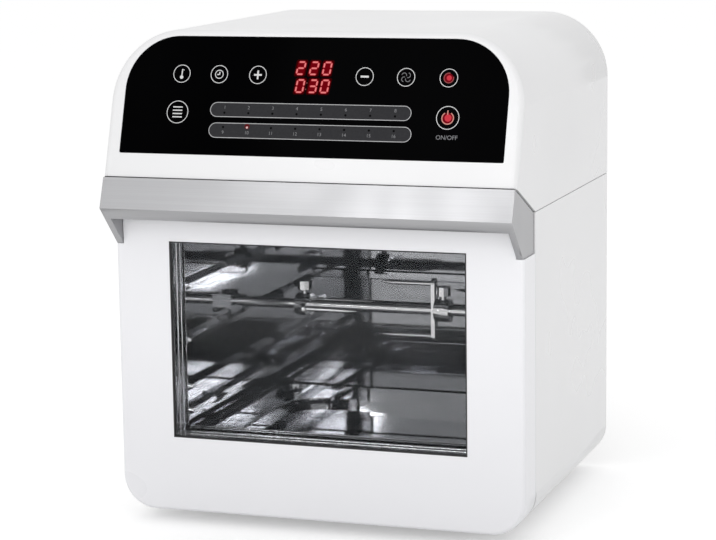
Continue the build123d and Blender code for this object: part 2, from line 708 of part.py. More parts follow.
def rail_heights():
    """Rails at an even pitch above the floor, then one below the spit and one above it."""
    below_spit = SPIT_HEIGHT - RAIL_BELOW_SPIT
    heights = [below_spit, SPIT_HEIGHT + RAIL_ABOVE_SPIT]
    height = CAVITY_FLOOR + RAIL_FLOOR_GAP
    while height <= below_spit - RAIL_PITCH:
        heights.append(height)
        height += RAIL_PITCH
    return heights


def make_side_walls():
    wall = block(-CAVITY_HALF - SHEET, -CAVITY_HALF, FRAME_BACK, CAVITY_BACK, CAVITY_FLOOR, CAVITY_CEILING)
    length = CAVITY_DEPTH - 2 * RAIL_END_MARGIN
    for height in rail_heights():
        plane = Plane(origin=(-CAVITY_HALF, CAVITY_MIDDLE, height), x_dir=(0, 1, 0), z_dir=(1, 0, 0))
        outer, inner = pressed_rail(plane, length, RAIL_WIDTH, RAIL_DEPTH, RAIL_TAPER, SHEET)
        wall = wall + outer - inner
    right = wall.mirror(Plane.YZ)
    hole = DRIVE_SHAFT_RADIUS + DRIVE_HOLE_GAP
    right = right - rod_x(hole, CAVITY_HALF - PAST, CAVITY_HALF + SHEET + PAST, CAVITY_MIDDLE, SPIT_HEIGHT)
    inside = CAVITY_HALF - RAIL_DEPTH - SHEET
    right = right - rod_x(LAMP_COVER_RADIUS + FIT, inside, CAVITY_HALF + SHEET + PAST, LAMP_Y, LAMP_HEIGHT)
    save("cavity_left_wall", wall)
    save("cavity_right_wall", right)


def make_back_wall():
    half = CAVITY_HALF + SHEET
    wall = block(-half, half, CAVITY_BACK, CAVITY_BACK + SHEET, CAVITY_FLOOR - SHEET, CEILING_TOP)
    length = CAVITY_WIDTH - 2 * RIB_SIDE
    height = CAVITY_FLOOR + RIB_FLOOR_GAP
    while height <= CAVITY_CEILING - RIB_CEILING_GAP:
        plane = Plane(origin=(0, CAVITY_BACK, height), x_dir=(1, 0, 0), z_dir=(0, -1, 0))
        outer, inner = pressed_rail(plane, length, RIB_WIDTH, RIB_DEPTH, RAIL_TAPER, SHEET)
        wall = wall + outer - inner
        height += RIB_PITCH
    save("cavity_back_wall", wall)


def make_floor_and_ceiling():
    half = CAVITY_HALF + SHEET
    floor = block(-half, half, FRAME_BACK, CAVITY_BACK, CAVITY_FLOOR - SHEET, CAVITY_FLOOR)
    save("cavity_floor", floor)
    ceiling = block(-half, half, FRAME_BACK, CAVITY_BACK, CAVITY_CEILING, CEILING_TOP)
    opening = SHROUD_RADIUS - OPENING_INSET
    ceiling = ceiling - rod_z(opening, CAVITY_CEILING - PAST, CEILING_TOP + PAST, 0, CAVITY_MIDDLE)
    save("cavity_ceiling", ceiling)


# Grille below the heater: a disc with rings of curved slots
def arc_slot(radius, width, start, sweep):
    ring = Circle(radius + width / 2) - Circle(radius - width / 2)
    reach = 2 * radius
    points = [(0.0, 0.0)]
    steps = 4
    for step in range(steps + 1):
        angle = math.radians(start + sweep * step / steps)
        points.append((reach * math.cos(angle), reach * math.sin(angle)))
    return ring & Polygon(*points, align=None)


def make_fan_guard():
    disc = Circle(SHROUD_RADIUS - GUARD_INSET)
    for row, radius in enumerate(GUARD_RINGS):
        pitch = FULL_TURN / GUARD_SLOTS
        bridge = math.degrees(GUARD_SLOT_WIDTH / radius)
        for index in range(GUARD_SLOTS):
            start = index * pitch + row * pitch / 2
            disc = disc - arc_slot(radius, GUARD_SLOT_WIDTH, start, pitch - bridge)
    guard = along_z(Pos(0, CAVITY_MIDDLE) * disc, CAVITY_CEILING - SHEET, CAVITY_CEILING)
    save("heater_grille", guard)


# Domed shroud over the heater and the fan
def make_shroud():
    base = CEILING_TOP
    shroud = rod_z(SHROUD_RADIUS, base, SHROUD_TOP, 0, CAVITY_MIDDLE)
    shroud = chamfer(shroud.edges().filter_by(GeomType.CIRCLE).sort_by(Axis.Z)[-1], SHROUD_EDGE)
    shroud = shroud + rod_z(SHROUD_RADIUS + SHROUD_FLANGE, base, base + SHEET, 0, CAVITY_MIDDLE)
    inside = rod_z(SHROUD_RADIUS - SHEET, base - PAST, SHROUD_TOP - SHEET, 0, CAVITY_MIDDLE)
    inside = chamfer(inside.edges().filter_by(GeomType.CIRCLE).sort_by(Axis.Z)[-1], SHROUD_EDGE - SHEET)
    shroud = shroud - inside
    shroud = shroud - rod_z(SHAFT_RADIUS + SHAFT_HOLE_GAP, base, SHROUD_TOP + PAST, 0, CAVITY_MIDDLE)
    for x, y in heater_leads():
        shroud = shroud - rod_z(HEATER_RADIUS + LEAD_CLEARANCE, base + SHEET, SHROUD_TOP + PAST, x, y)
    save("fan_shroud", shroud)


# Heating element: one tube in two rings, joined by a return bend, with both ends turned up
def polar(radius, degrees):
    angle = math.radians(degrees)
    return radius * math.cos(angle), CAVITY_MIDDLE + radius * math.sin(angle)


def heater_leads():
    start = (FULL_TURN - HEATER_SWEEP) / 2 + FULL_TURN / 4
    places = []
    for radius in (HEATER_OUTER_RADIUS, HEATER_INNER_RADIUS):
        x, y = polar(radius, start)
        angle = math.radians(start)
        places.append((x + HEATER_BEND * math.sin(angle), y - HEATER_BEND * math.cos(angle)))
    return places


def make_heater():
    level = CAVITY_CEILING + HEATER_RISE
    top = SHROUD_TOP + HEATER_LEAD
    start = (FULL_TURN - HEATER_SWEEP) / 2 + FULL_TURN / 4
    end = start + HEATER_SWEEP
    turn = HEATER_BEND * (1 - math.sqrt(0.5))
    flat = HEATER_BEND * math.sqrt(0.5)
    pieces = []
    angle = math.radians(start)
    for radius, lead in zip((HEATER_OUTER_RADIUS, HEATER_INNER_RADIUS), heater_leads()):
        ring_x, ring_y = polar(radius, start)
        low = Vector(ring_x, ring_y, level)
        high = Vector(lead[0], lead[1], level + HEATER_BEND)
        back = HEATER_BEND - flat
        middle = Vector(
            lead[0] - back * math.sin(angle), lead[1] + back * math.cos(angle), level + turn
        )
        bend = ThreePointArc(low, middle, high)
        rise = Line(high, Vector(lead[0], lead[1], top))
        pieces.append((bend, rise))
    outer = Pos(0, CAVITY_MIDDLE, level) * CenterArc((0, 0), HEATER_OUTER_RADIUS, start, HEATER_SWEEP)
    inner = Pos(0, CAVITY_MIDDLE, level) * CenterArc((0, 0), HEATER_INNER_RADIUS, start, HEATER_SWEEP)
    outer_end = polar(HEATER_OUTER_RADIUS, end)
    inner_end = polar(HEATER_INNER_RADIUS, end)
    reach = (HEATER_OUTER_RADIUS - HEATER_INNER_RADIUS) / 2
    centre = polar((HEATER_OUTER_RADIUS + HEATER_INNER_RADIUS) / 2, end)
    tip_angle = math.radians(end + QUARTER_TURN)
    tip = (centre[0] + reach * math.cos(tip_angle), centre[1] + reach * math.sin(tip_angle))
    bend = ThreePointArc((*outer_end, level), (*tip, level), (*inner_end, level))
    path = Wire([*pieces[0][1].edges(), *pieces[0][0].edges(), *outer.edges(), *bend.edges(),
                 *inner.edges(), *pieces[1][0].edges(), *pieces[1][1].edges()])
    lead = heater_leads()[0]
    section = Pos(lead[0], lead[1], top) * Circle(HEATER_RADIUS)
    element = sweep(section, path=path)
    save("heating_element", element)
    clips = []
    bar_base = level + HEATER_RADIUS + FIT
    bar_end = SHROUD_RADIUS - SHEET - FIT
    for degrees in CLIP_ANGLES:
        clip = block(HEATER_INNER_RADIUS - HEATER_RADIUS, bar_end, -CLIP_WIDTH / 2, CLIP_WIDTH / 2,
                     bar_base, bar_base + CLIP_SHEET)
        clip = clip + block(bar_end - CLIP_SHEET, bar_end, -CLIP_WIDTH / 2, CLIP_WIDTH / 2,
                            CEILING_TOP, bar_base + CLIP_SHEET)
        clips.append(Pos(0, CAVITY_MIDDLE, 0) * Rot(0, 0, degrees) * clip)
    save("heater_clips", *clips)


# Fan wheel, cooling fan and the shaft that carries both
def fan_wheel(radius, height, up):
    """A disc with blades that lean back, standing below or above it."""
    sign = 1 if up else -1
    wheel = Cylinder(radius, FAN_PLATE)
    wheel = wheel + Pos(0, 0, sign * height / 2) * Cylinder(FAN_HUB_RADIUS, height)
    start = FAN_HUB_RADIUS + FAN_BLADE_START
    reach = radius - FAN_RIM - start
    blade = Pos(start + reach / 2, 0, sign * (height / 2 + FAN_PLATE / 2 - FAN_BLADE_ROOT))
    blade = blade * Rot(0, 0, FAN_BLADE_LEAN) * Box(reach, FAN_PLATE, height)
    for index in range(FAN_BLADES):
        wheel = wheel + Rot(0, 0, index * FULL_TURN / FAN_BLADES) * blade
    return wheel - Cylinder(SHAFT_RADIUS + SHAFT_CLEARANCE, 4 * height)


def make_fan():
    level = SHROUD_TOP - SHEET - FAN_TOP_GAP
    wheel = fan_wheel(FAN_RADIUS, FAN_BLADE_HEIGHT, False)
    save("convection_fan", Pos(0, CAVITY_MIDDLE, level) * wheel)
    cooler = fan_wheel(COOLING_RADIUS, COOLING_HEIGHT, True)
    save("cooling_fan", Pos(0, CAVITY_MIDDLE, SHIELD_TOP + COOLING_GAP) * cooler)
    nut_top = level - FAN_BLADE_HEIGHT - FIT
    base = nut_top - FAN_NUT_HEIGHT
    shaft = rod_z(SHAFT_RADIUS, base, BRACKET_TOP + MOTOR_HEIGHT + SHAFT_END, 0, CAVITY_MIDDLE)
    nut = along_z(Pos(0, CAVITY_MIDDLE) * RegularPolygon(FAN_NUT_RADIUS, 6), base, nut_top)
    save("motor_shaft", shaft + nut)


def make_motor():
    bore = rod_z(SHAFT_RADIUS + SHAFT_CLEARANCE, 0, TOTAL_HEIGHT, 0, CAVITY_MIDDLE)
    top = BRACKET_TOP + MOTOR_HEIGHT
    motor = rod_z(MOTOR_RADIUS, BRACKET_TOP, top, 0, CAVITY_MIDDLE)
    motor = chamfer(motor.edges().filter_by(GeomType.CIRCLE).sort_by(Axis.Z)[-1], MOTOR_CHAMFER)
    cap = rod_z(MOTOR_CAP_RADIUS, top, top + MOTOR_CAP_HEIGHT, 0, CAVITY_MIDDLE)
    cap_hollow = rod_z(
        SHAFT_RADIUS + SHAFT_HOLE_GAP, top, top + MOTOR_CAP_HEIGHT - MOTOR_CAP_TOP, 0, CAVITY_MIDDLE
    )
    save("fan_motor", motor - bore + (cap - cap_hollow))
    half = BRACKET_SIDE / 2
    plate = Pos(0, CAVITY_MIDDLE) * RectangleRounded(BRACKET_SIDE, BRACKET_SIDE, BRACKET_CORNER)
    bracket = along_z(plate, BRACKET_TOP - BRACKET_PLATE, BRACKET_TOP)
    place = half - BRACKET_LEG
    for x in (-place, place):
        for y in (-place, place):
            leg = block(
                x - BRACKET_LEG / 2, x + BRACKET_LEG / 2,
                CAVITY_MIDDLE + y - BRACKET_PLATE / 2, CAVITY_MIDDLE + y + BRACKET_PLATE / 2,
                SHIELD_TOP, BRACKET_TOP,
            )
            bracket = bracket + leg
    hole = SHAFT_RADIUS + SHAFT_HOLE_GAP
    bracket = bracket - rod_z(hole, SHIELD_TOP, BRACKET_TOP + PAST, 0, CAVITY_MIDDLE)
    save("motor_bracket", bracket)


def make_heat_shield():
    half = CAVITY_HALF
    y0 = FRAME_BACK + SHIELD_SETBACK
    y1 = CAVITY_BACK - SHIELD_SETBACK
    shield = block(-half, half, y0, y1, CEILING_TOP, SHIELD_TOP)
    shield = shield - block(
        -half + SHEET, half - SHEET, y0 - PAST, y1 + PAST, CEILING_TOP - PAST, SHIELD_TOP - SHEET
    )
    shield = shield - rod_z(SHAFT_RADIUS + SHAFT_HOLE_GAP, CEILING_TOP, SHIELD_TOP + PAST, 0, CAVITY_MIDDLE)
    for x, y in heater_leads():
        shield = shield - rod_z(HEATER_RADIUS + SHIELD_LEAD_GAP, SHROUD_TOP, SHIELD_TOP + PAST, x, y)
    save("heat_shield", shield)


# Power board with its transformer, relay and capacitors, the sensors and the door magnets
def standing_box(size, x, y, z):
    return block(x, x + size[0], y, y + size[1], z, z + size[2])


def make_electrics():
    base = SHIELD_TOP + POWER_BOARD_RISE
    top = base + BOARD_THICKNESS
    x0 = POWER_BOARD_MARGIN - CAVITY_HALF
    x1 = -BRACKET_SIDE / 2 - POWER_BOARD_GAP
    y0 = CAVITY_MIDDLE - POWER_BOARD_LENGTH / 2
    y1 = CAVITY_MIDDLE + POWER_BOARD_LENGTH / 2
    board = block(x0, x1, y0, y1, base, top)
    for x in (x0 + STANDOFF_INSET, x1 - STANDOFF_INSET):
        for y in (y0 + STANDOFF_INSET, y1 - STANDOFF_INSET):
            board = board + rod_z(STANDOFF_RADIUS, SHIELD_TOP, base, x, y)
    save("power_board", board)
    transformer = standing_box(TRANSFORMER, x0 + TRANSFORMER_PLACE[0], y0 + TRANSFORMER_PLACE[1], top)
    relay = standing_box(RELAY, x0 + RELAY_PLACE[0], y0 + RELAY_PLACE[1], top)
    cans = []
    for index in range(CAPACITOR_COUNT):
        can_y = y0 + CAPACITOR_PLACE[1] + index * CAPACITOR_PITCH
        cans.append(rod_z(CAPACITOR_RADIUS, top, top + CAPACITOR_HEIGHT, x1 - CAPACITOR_PLACE[0], can_y))
    save("power_board_parts", transformer, relay, *cans)
    cut_out_x = HEATER_OUTER_RADIUS / 2
    cut_out_top = SHROUD_TOP + CUT_OUT_HEIGHT
    cut_out = rod_z(CUT_OUT_RADIUS, SHROUD_TOP, cut_out_top, cut_out_x, CAVITY_MIDDLE)
    save("thermal_cut_out", cut_out)
    probe = rod_x(
        PROBE_RADIUS, -CAVITY_HALF, -CAVITY_HALF + PROBE_LENGTH,
        CAVITY_BACK - PROBE_FROM_BACK, CAVITY_CEILING - PROBE_DROP,
    )
    save("temperature_probe", probe)
    sensor = block(
        SENSOR_X - SENSOR_WIDTH / 2, SENSOR_X + SENSOR_WIDTH / 2,
        FRAME_BACK, FRAME_BACK + MAGNET_DEPTH,
        CEILING_TOP, CEILING_TOP + SENSOR_HEIGHT,
    )
    save("door_sensor", sensor)
    magnet = block(
        MAGNET_X - MAGNET_LENGTH / 2, MAGNET_X + MAGNET_LENGTH / 2,
        FRAME_BACK, FRAME_BACK + MAGNET_DEPTH,
        CEILING_TOP, CEILING_TOP + MAGNET_HEIGHT,
    )
    save("door_magnets", *both_sides(magnet))


def make_lamp():
    inner = CAVITY_HALF
    back = inner + SHEET
    cover = rod_x(LAMP_COVER_RADIUS, inner - LAMP_DOME, back, LAMP_Y, LAMP_HEIGHT)
    cover = chamfer(cover.edges().filter_by(GeomType.CIRCLE).sort_by(Axis.X)[0], LAMP_EDGE)
    cover = cover - rod_x(
        LAMP_COVER_RADIUS - LAMP_GLASS, inner - LAMP_DOME + LAMP_GLASS, back + PAST, LAMP_Y, LAMP_HEIGHT
    )
    save("lamp_cover", cover)
    flange_end = back + LAMP_FLANGE
    holder = rod_x(LAMP_COVER_RADIUS + LAMP_RIM, back, flange_end, LAMP_Y, LAMP_HEIGHT)
    holder = holder + rod_x(
        LAMP_HOLDER_RADIUS, flange_end, back + LAMP_HOLDER_LENGTH, LAMP_Y, LAMP_HEIGHT
    )
    seat = flange_end - SHEET
    holder = holder - rod_x(BULB_RADIUS + 2 * SHEET, back - PAST, seat, LAMP_Y, LAMP_HEIGHT)
    save("lamp_holder", holder)
    bulb = rod_x(BULB_RADIUS, seat - BULB_LENGTH + SHEET, seat, LAMP_Y, LAMP_HEIGHT)
    bulb = chamfer(bulb.edges().filter_by(GeomType.CIRCLE).sort_by(Axis.X)[0], BULB_TIP)
    save("lamp_bulb", bulb)


# Rotisserie: gear motor, drive socket, spit, forks with clamp screws, and the cradle
def make_rotisserie():
    y = CAVITY_MIDDLE
    z = SPIT_HEIGHT
    back = CAVITY_HALF + SHEET
    gearbox = rod_x(GEARBOX_RADIUS, back, back + GEARBOX_THICKNESS, y, z)
    ears = Pos(y, z) * SlotOverall(2 * GEARBOX_EAR, GEARBOX_EAR_WIDTH)
    gearbox = gearbox + along_x(ears, back, back + GEARBOX_EAR_SHEET)
    lid = back + GEARBOX_THICKNESS
    gearbox = gearbox + rod_x(SPIT_MOTOR_RADIUS, lid, lid + SPIT_MOTOR_LENGTH, y - SPIT_MOTOR_OFFSET, z)
    shaft_end = CAVITY_HALF - SOCKET_GAP + DRIVE_SHAFT_LENGTH
    gearbox = gearbox - rod_x(DRIVE_SHAFT_RADIUS + SPIT_CLEARANCE, back - PAST, shaft_end + PAST, y, z)
    save("rotisserie_motor", gearbox)
    socket_end = CAVITY_HALF - SOCKET_GAP
    socket_start = socket_end - SOCKET_LENGTH
    socket = rod_x(SOCKET_RADIUS, socket_start, socket_end, y, z)
    socket = chamfer(socket.edges().filter_by(GeomType.CIRCLE).sort_by(Axis.X)[0], SOCKET_CHAMFER)
    hole = SPIT_SQUARE + 2 * SPIT_CLEARANCE
    bore = along_x(Pos(y, z) * Rectangle(hole, hole), socket_start - PAST, socket_start + SOCKET_DEPTH)
    socket = socket - bore + rod_x(DRIVE_SHAFT_RADIUS, socket_end, shaft_end, y, z)
    save("drive_socket", socket)
    left = -CAVITY_HALF + SPIT_TIP_GAP
    plate_start = -CAVITY_HALF + SUPPORT_STANDOFF
    plate_end = plate_start + SUPPORT_PLATE
    neck_start = (plate_start + plate_end - NECK_LENGTH) / 2
    neck_end = neck_start + NECK_LENGTH
    shoulder = socket_start - SOCKET_GAP
    rod = rod_x(SPIT_RADIUS, left, neck_start, y, z)
    rod = rod + rod_x(NECK_RADIUS, neck_start, neck_end, y, z)
    rod = rod + rod_x(SPIT_RADIUS, neck_end, shoulder, y, z)
    square = Pos(y, z) * Rectangle(SPIT_SQUARE, SPIT_SQUARE)
    rod = rod + along_x(square, shoulder, socket_start + SOCKET_DEPTH - SPIT_END_GAP)
    save("spit_rod", rod)
    height = SUPPORT_DROP + SUPPORT_RISE
    plate = Pos(y, z - SUPPORT_DROP + height / 2) * Rectangle(SUPPORT_WIDTH, height)
    plate = fillet(plate.vertices().sort_by(Axis.Y)[:2], SUPPORT_RADIUS)
    notch = Pos(y, z) * Circle(NECK_RADIUS + SPIT_CLEARANCE)
    notch = notch + Pos(y, z + SUPPORT_RISE) * Rectangle(
        2 * (NECK_RADIUS + SPIT_CLEARANCE), 2 * SUPPORT_RISE
    )
    cradle = along_x(plate - notch, plate_start, plate_end)
    for side in (-1, 1):
        edge = y + side * (SUPPORT_WIDTH - SUPPORT_TAB) / 2
        cradle = cradle + block(
            -CAVITY_HALF, plate_end, edge - SUPPORT_TAB / 2, edge + SUPPORT_TAB / 2,
            z - SUPPORT_DROP + SUPPORT_RADIUS, z + SUPPORT_RISE,
        )
    save("spit_support", cradle)
    for name, side in (("left", -1), ("right", 1)):
        save("spit_fork_" + name, make_fork(side))
        save("fork_screw_" + name, make_fork_screw(side))


def make_fork(side):
    y = CAVITY_MIDDLE
    z = SPIT_HEIGHT
    x = side * FORK_X
    half = FORK_HUB_LENGTH / 2
    fork = rod_x(FORK_HUB_RADIUS, x - half, x + half, y, z)
    inner = x - side * half
    bar_end = inner - side * FORK_BAR_THICKNESS
    low, high = sorted((inner, bar_end))
    turn = 0 if side < 0 else 90
    bar = Rot(0, 0, turn) * SlotOverall(FORK_SPAN + FORK_BAR_WIDTH, FORK_BAR_WIDTH)
    fork = fork + along_x(Pos(y, z) * bar, low, high)
    for sign in (-1, 1):
        offset = sign * FORK_SPAN / 2
        ty = y + (offset if turn == 0 else 0)
        tz = z + (0 if turn == 0 else offset)
        tip = bar_end - side * TINE_LENGTH
        shoulder = tip + side * TINE_POINT
        low, high = sorted((bar_end + side * TINE_ROOT, shoulder))
        fork = fork + rod_x(TINE_RADIUS, low, high, ty, tz)
        point = Cone(TINE_RADIUS, TINE_TIP_RADIUS, TINE_POINT)
        facing = Rot(0, -side * 90, 0)
        fork = fork + Pos((shoulder + tip) / 2, ty, tz) * facing * point
    fork = fork - rod_x(SPIT_RADIUS + SPIT_CLEARANCE, x - 3 * half, x + 3 * half, y, z)
    return fork - fork_screw_hole(side)


def fork_screw_hole(side):
    radius = THUMB_RADIUS + SPIT_CLEARANCE
    return rod_z(radius, SPIT_HEIGHT, SPIT_HEIGHT + 2 * FORK_HUB_RADIUS, side * FORK_X, CAVITY_MIDDLE)


def make_fork_screw(side):
    x = side * FORK_X
    start = SPIT_HEIGHT + SPIT_RADIUS + SPIT_CLEARANCE
    neck = SPIT_HEIGHT + FORK_HUB_RADIUS + THUMB_NECK
    screw = rod_z(THUMB_RADIUS, start, neck, x, CAVITY_MIDDLE)
    head = RegularPolygon(THUMB_HEAD_RADIUS, 10, major_radius=True)
    head = along_z(Pos(x, CAVITY_MIDDLE) * head, neck, neck + THUMB_HEAD_HEIGHT)
    return screw + head


# Drip tray: a pressed pan with a flat rim, a deeper well and a pull lip
def make_drip_tray():
    y0 = DOOR_BACK + TRAY_FRONT_GAP
    y1 = CAVITY_BACK - TRAY_REAR_GAP
    middle = (y0 + y1) / 2
    length = y1 - y0
    base = CAVITY_FLOOR + FIT
    top = base + TRAY_HEIGHT
    width = CAVITY_WIDTH - 2 * TRAY_SIDE
    outline = Pos(0, middle) * RectangleRounded(width, length, TRAY_RADIUS)
    tray = along_z(outline, base, top)
    inside = Pos(0, middle) * RectangleRounded(
        width - 2 * SHEET, length - 2 * SHEET, TRAY_RADIUS - SHEET
    )
    tray = tray - along_z(inside, top - TRAY_RIM_DROP, top + PAST)
    well_width = width - 2 * TRAY_WELL_MARGIN
    well_length = length - 2 * TRAY_WELL_MARGIN
    well = Pos(0, middle) * RectangleRounded(well_width, well_length, TRAY_WELL_RADIUS)
    tray = tray - along_z(well, base + SHEET, top)
    kept = Pos(0, middle) * RectangleRounded(
        well_width + 2 * SHEET, well_length + 2 * SHEET, TRAY_WELL_RADIUS + SHEET
    )
    tray = tray - along_z(inside - kept, base - PAST, top - TRAY_RIM_DROP - SHEET)
    lip = block(
        -TRAY_LIP_LENGTH / 2, TRAY_LIP_LENGTH / 2,
        y0 - TRAY_LIP_REACH, y0 + SHEET,
        top - TRAY_LIP_THICKNESS, top,
    )
    save("drip_tray", tray + lip)


# Door: moulded front, two panes in a liner, an inner panel and the fittings
def door_outline(inset, top=HANDLE_NOSE_HEIGHT + DOOR_THICKNESS):
    bottom = FOOT_HEIGHT + inset
    sketch = Pos(0, (bottom + top) / 2) * Rectangle(BODY_WIDTH - 2 * inset, top - bottom)
    return fillet(sketch.vertices().sort_by(Axis.Y)[:2], BOTTOM_RADIUS - inset)


def window_outline(grow, lift=0.0):
    bottom = WINDOW_BOTTOM + lift - grow
    top = WINDOW_TOP + grow
    return Pos(0, (bottom + top) / 2) * Rectangle(WINDOW_WIDTH + 2 * grow, top - bottom)


def door_side(inset, back):
    """Side profile of the door below the handle's top plate, inset from its faces."""
    front = DOOR_FRONT + inset
    bottom = FOOT_HEIGHT + inset
    drop = HANDLE_GAP + HANDLE_WALL + FIT + inset
    profile = Polygon(
        (front, bottom),
        (back, bottom),
        (back, slope_height(back, drop)),
        (front, slope_height(front, drop)),
        align=None,
    )
    corners = profile.vertices().sort_by(Axis.Y)[:2].sort_by(Axis.X)
    return fillet(corners[-1], DOOR_REAR_FOOT_RADIUS - inset)


def door_screw_places():
    edge = HALF_WIDTH - DOOR_SCREW_INSET
    top = SEAM_HEIGHT - DOOR_SCREW_DROP
    step = (top - DOOR_SCREW_BASE) / (DOOR_SCREW_ROWS - 1)
    heights = [DOOR_SCREW_BASE + row * step for row in range(DOOR_SCREW_ROWS)]
    return [(x, z) for x in (-edge, edge) for z in heights]


def make_door_frame():
    frame = along_y(door_outline(0), DOOR_FRONT, DOOR_BACK)
    frame = frame & along_x(door_side(0, DOOR_BACK), -HALF_WIDTH, HALF_WIDTH)
    front = frame.faces().sort_by(Axis.Y)[0]
    frame = fillet(front.edges().sort_by(Axis.Z)[:-1], DOOR_EDGE_RADIUS)
    past = DOOR_BACK + DOOR_WALL
    hollow = along_y(door_outline(DOOR_WALL), DOOR_FRONT + DOOR_WALL, past)
    inner = door_side(DOOR_WALL, DOOR_BACK)
    hollow = hollow & along_x(inner, -HALF_WIDTH, HALF_WIDTH)
    reach = DOOR_BACK - DOOR_REAR_FOOT_RADIUS
    open_back = along_y(door_outline(DOOR_WALL), reach, past) & block(
        -HALF_WIDTH, HALF_WIDTH, reach, past, FOOT_HEIGHT + DOOR_REAR_FOOT_RADIUS,
        slope_height(DOOR_BACK, HANDLE_GAP + HANDLE_WALL + FIT + DOOR_WALL),
    )
    frame = frame - hollow - open_back
    frame = frame - along_y(window_outline(0), DOOR_FRONT - PAST, DOOR_FRONT + 2 * DOOR_WALL)
    boss_in = HINGE_X - HINGE_SLOT / 2
    boss_out = boss_in - BUSH_LENGTH - DOOR_WALL
    boss = rod_x(HINGE_BOSS_RADIUS, boss_out, boss_in, PIVOT_Y, PIVOT_HEIGHT)
    boss = boss + block(
        boss_out, boss_in, PIVOT_Y - HINGE_BOSS_RADIUS, PIVOT_Y + HINGE_BOSS_RADIUS / 2,
        FOOT_HEIGHT + DOOR_WALL / 2, PIVOT_HEIGHT,
    )
    bush_hole = rod_x(
        PIN_RADIUS + BUSH_WALL + PIN_CLEARANCE, boss_in - BUSH_LENGTH, boss_in + PAST, PIVOT_Y, PIVOT_HEIGHT
    )
    slot = block(
        HINGE_X - HINGE_SLOT / 2, HINGE_X + HINGE_SLOT / 2,
        PIVOT_Y - HINGE_BOSS_RADIUS - PAST, DOOR_BACK + PAST, 0, PIVOT_HEIGHT + HINGE_BOSS_RADIUS + PAST,
    )
    for part in both_sides(boss):
        frame = frame + part
    for part in both_sides(bush_hole) + both_sides(slot):
        frame = frame - part
    for x, z in door_screw_places():
        post = rod_y(DOOR_BOSS_RADIUS, DOOR_FRONT + DOOR_WALL / 2, inner_panel_front(), x, z)
        frame = frame + post
        frame = frame - rod_y(
            SCREW_RADIUS + SCREW_CLEARANCE, inner_panel_front() - DOOR_SCREW_LENGTH - PAST, DOOR_BACK, x, z
        )
    return frame - handle_blank(FIT)


def inner_panel_front():
    return DOOR_BACK - FIT - LINER


def make_door_inner():
    front = DOOR_FRONT + DOOR_WALL + FIT
    outer_pane = along_y(window_outline(GLASS_OVERLAP), front, front + GLASS_OUTER)
    save("door_glass_outer", outer_pane)
    panel_front = inner_panel_front()
    inner_front = panel_front - FIT - GLASS_INNER
    inner_pane = along_y(window_outline(GLASS_OVERLAP), inner_front, inner_front + GLASS_INNER)
    save("door_glass_inner", inner_pane)
    liner_start = front + GLASS_OUTER + FIT
    liner_end = inner_front - FIT
    ring = window_outline(LINER) - window_outline(0)
    flange = window_outline(GLASS_OVERLAP) - window_outline(0)
    liner = along_y(ring, liner_start, liner_end)
    liner = liner + along_y(flange, liner_start, liner_start + LINER)
    liner = liner + along_y(flange, liner_end - LINER, liner_end)
    save("window_liner", liner)
    top = slope_height(DOOR_BACK, HANDLE_GAP + HANDLE_WALL + FIT + DOOR_WALL + FIT)
    panel = door_outline(DOOR_WALL + FIT, top)
    panel = panel & Pos(0, (top + FOOT_HEIGHT + DOOR_REAR_FOOT_RADIUS + FIT) / 2) * Rectangle(
        BODY_WIDTH, top - FOOT_HEIGHT - DOOR_REAR_FOOT_RADIUS - FIT
    )
    opening = window_outline(0, INNER_WINDOW_STEP)
    panel = along_y(panel - opening, panel_front, panel_front + LINER)
    slot = block(
        HINGE_X - HINGE_SLOT / 2, HINGE_X + HINGE_SLOT / 2,
        panel_front - PAST, DOOR_BACK + PAST, 0, PIVOT_HEIGHT + HINGE_BOSS_RADIUS + PAST,
    )
    for part in both_sides(slot):
        panel = panel - part
    screws = []
    under = panel_front + LINER
    for x, z in door_screw_places():
        panel = panel - rod_y(SCREW_RADIUS + SCREW_CLEARANCE, panel_front - PAST, DOOR_BACK, x, z)
        head = rod_y(SCREW_HEAD_RADIUS, under, under + DOOR_SCREW_HEAD, x, z)
        screws.append(head + rod_y(SCREW_RADIUS, panel_front - DOOR_SCREW_LENGTH, under, x, z))
    panel = panel - handle_blank(FIT)
    save("door_inner_panel", panel)
    save("door_screws", *screws)
    strike_top = top - FIT
    strike = block(
        MAGNET_X - MAGNET_LENGTH / 2, MAGNET_X + MAGNET_LENGTH / 2,
        panel_front - STRIKE_THICKNESS, panel_front,
        strike_top - MAGNET_HEIGHT, strike_top,
    )
    save("door_strikes", *both_sides(strike))
    sensor_magnet = block(
        SENSOR_X - SENSOR_MAGNET_WIDTH / 2, SENSOR_X + SENSOR_MAGNET_WIDTH / 2,
        panel_front - SENSOR_MAGNET_DEPTH, panel_front,
        strike_top - MAGNET_HEIGHT, strike_top,
    )
    save("door_sensor_magnet", sensor_magnet)


def handle_corner(height_drop):
    """The handle's top front corner, on the line below the housing's slope."""
    y = FASCIA_BASE_Y - HANDLE_TOP_SETBACK
    return y, slope_height(y, height_drop)


def handle_blank(grow):
    """The end brackets' outline at both ends, used to clear the door round them."""
    depth = HANDLE_END_INSET + HANDLE_BRACKET + grow
    outline = handle_side(grow)
    right = along_x(outline, HALF_WIDTH - depth, HALF_WIDTH + PAST)
    left = along_x(outline, -HALF_WIDTH - PAST, -HALF_WIDTH + depth)
    return left + right


def handle_profile():
    """Side profile of the handle and its brackets, with all its corners sharp."""
    back_top = slope_height(DOOR_BACK, HANDLE_GAP)
    return Polygon(
        handle_corner(HANDLE_GAP),
        (HANDLE_FRONT, HANDLE_NOSE_HEIGHT),
        (DOOR_FRONT, HANDLE_TIP_HEIGHT),
        (DOOR_BACK, HANDLE_TIP_HEIGHT),
        (DOOR_BACK, back_top),
        align=None,
    )


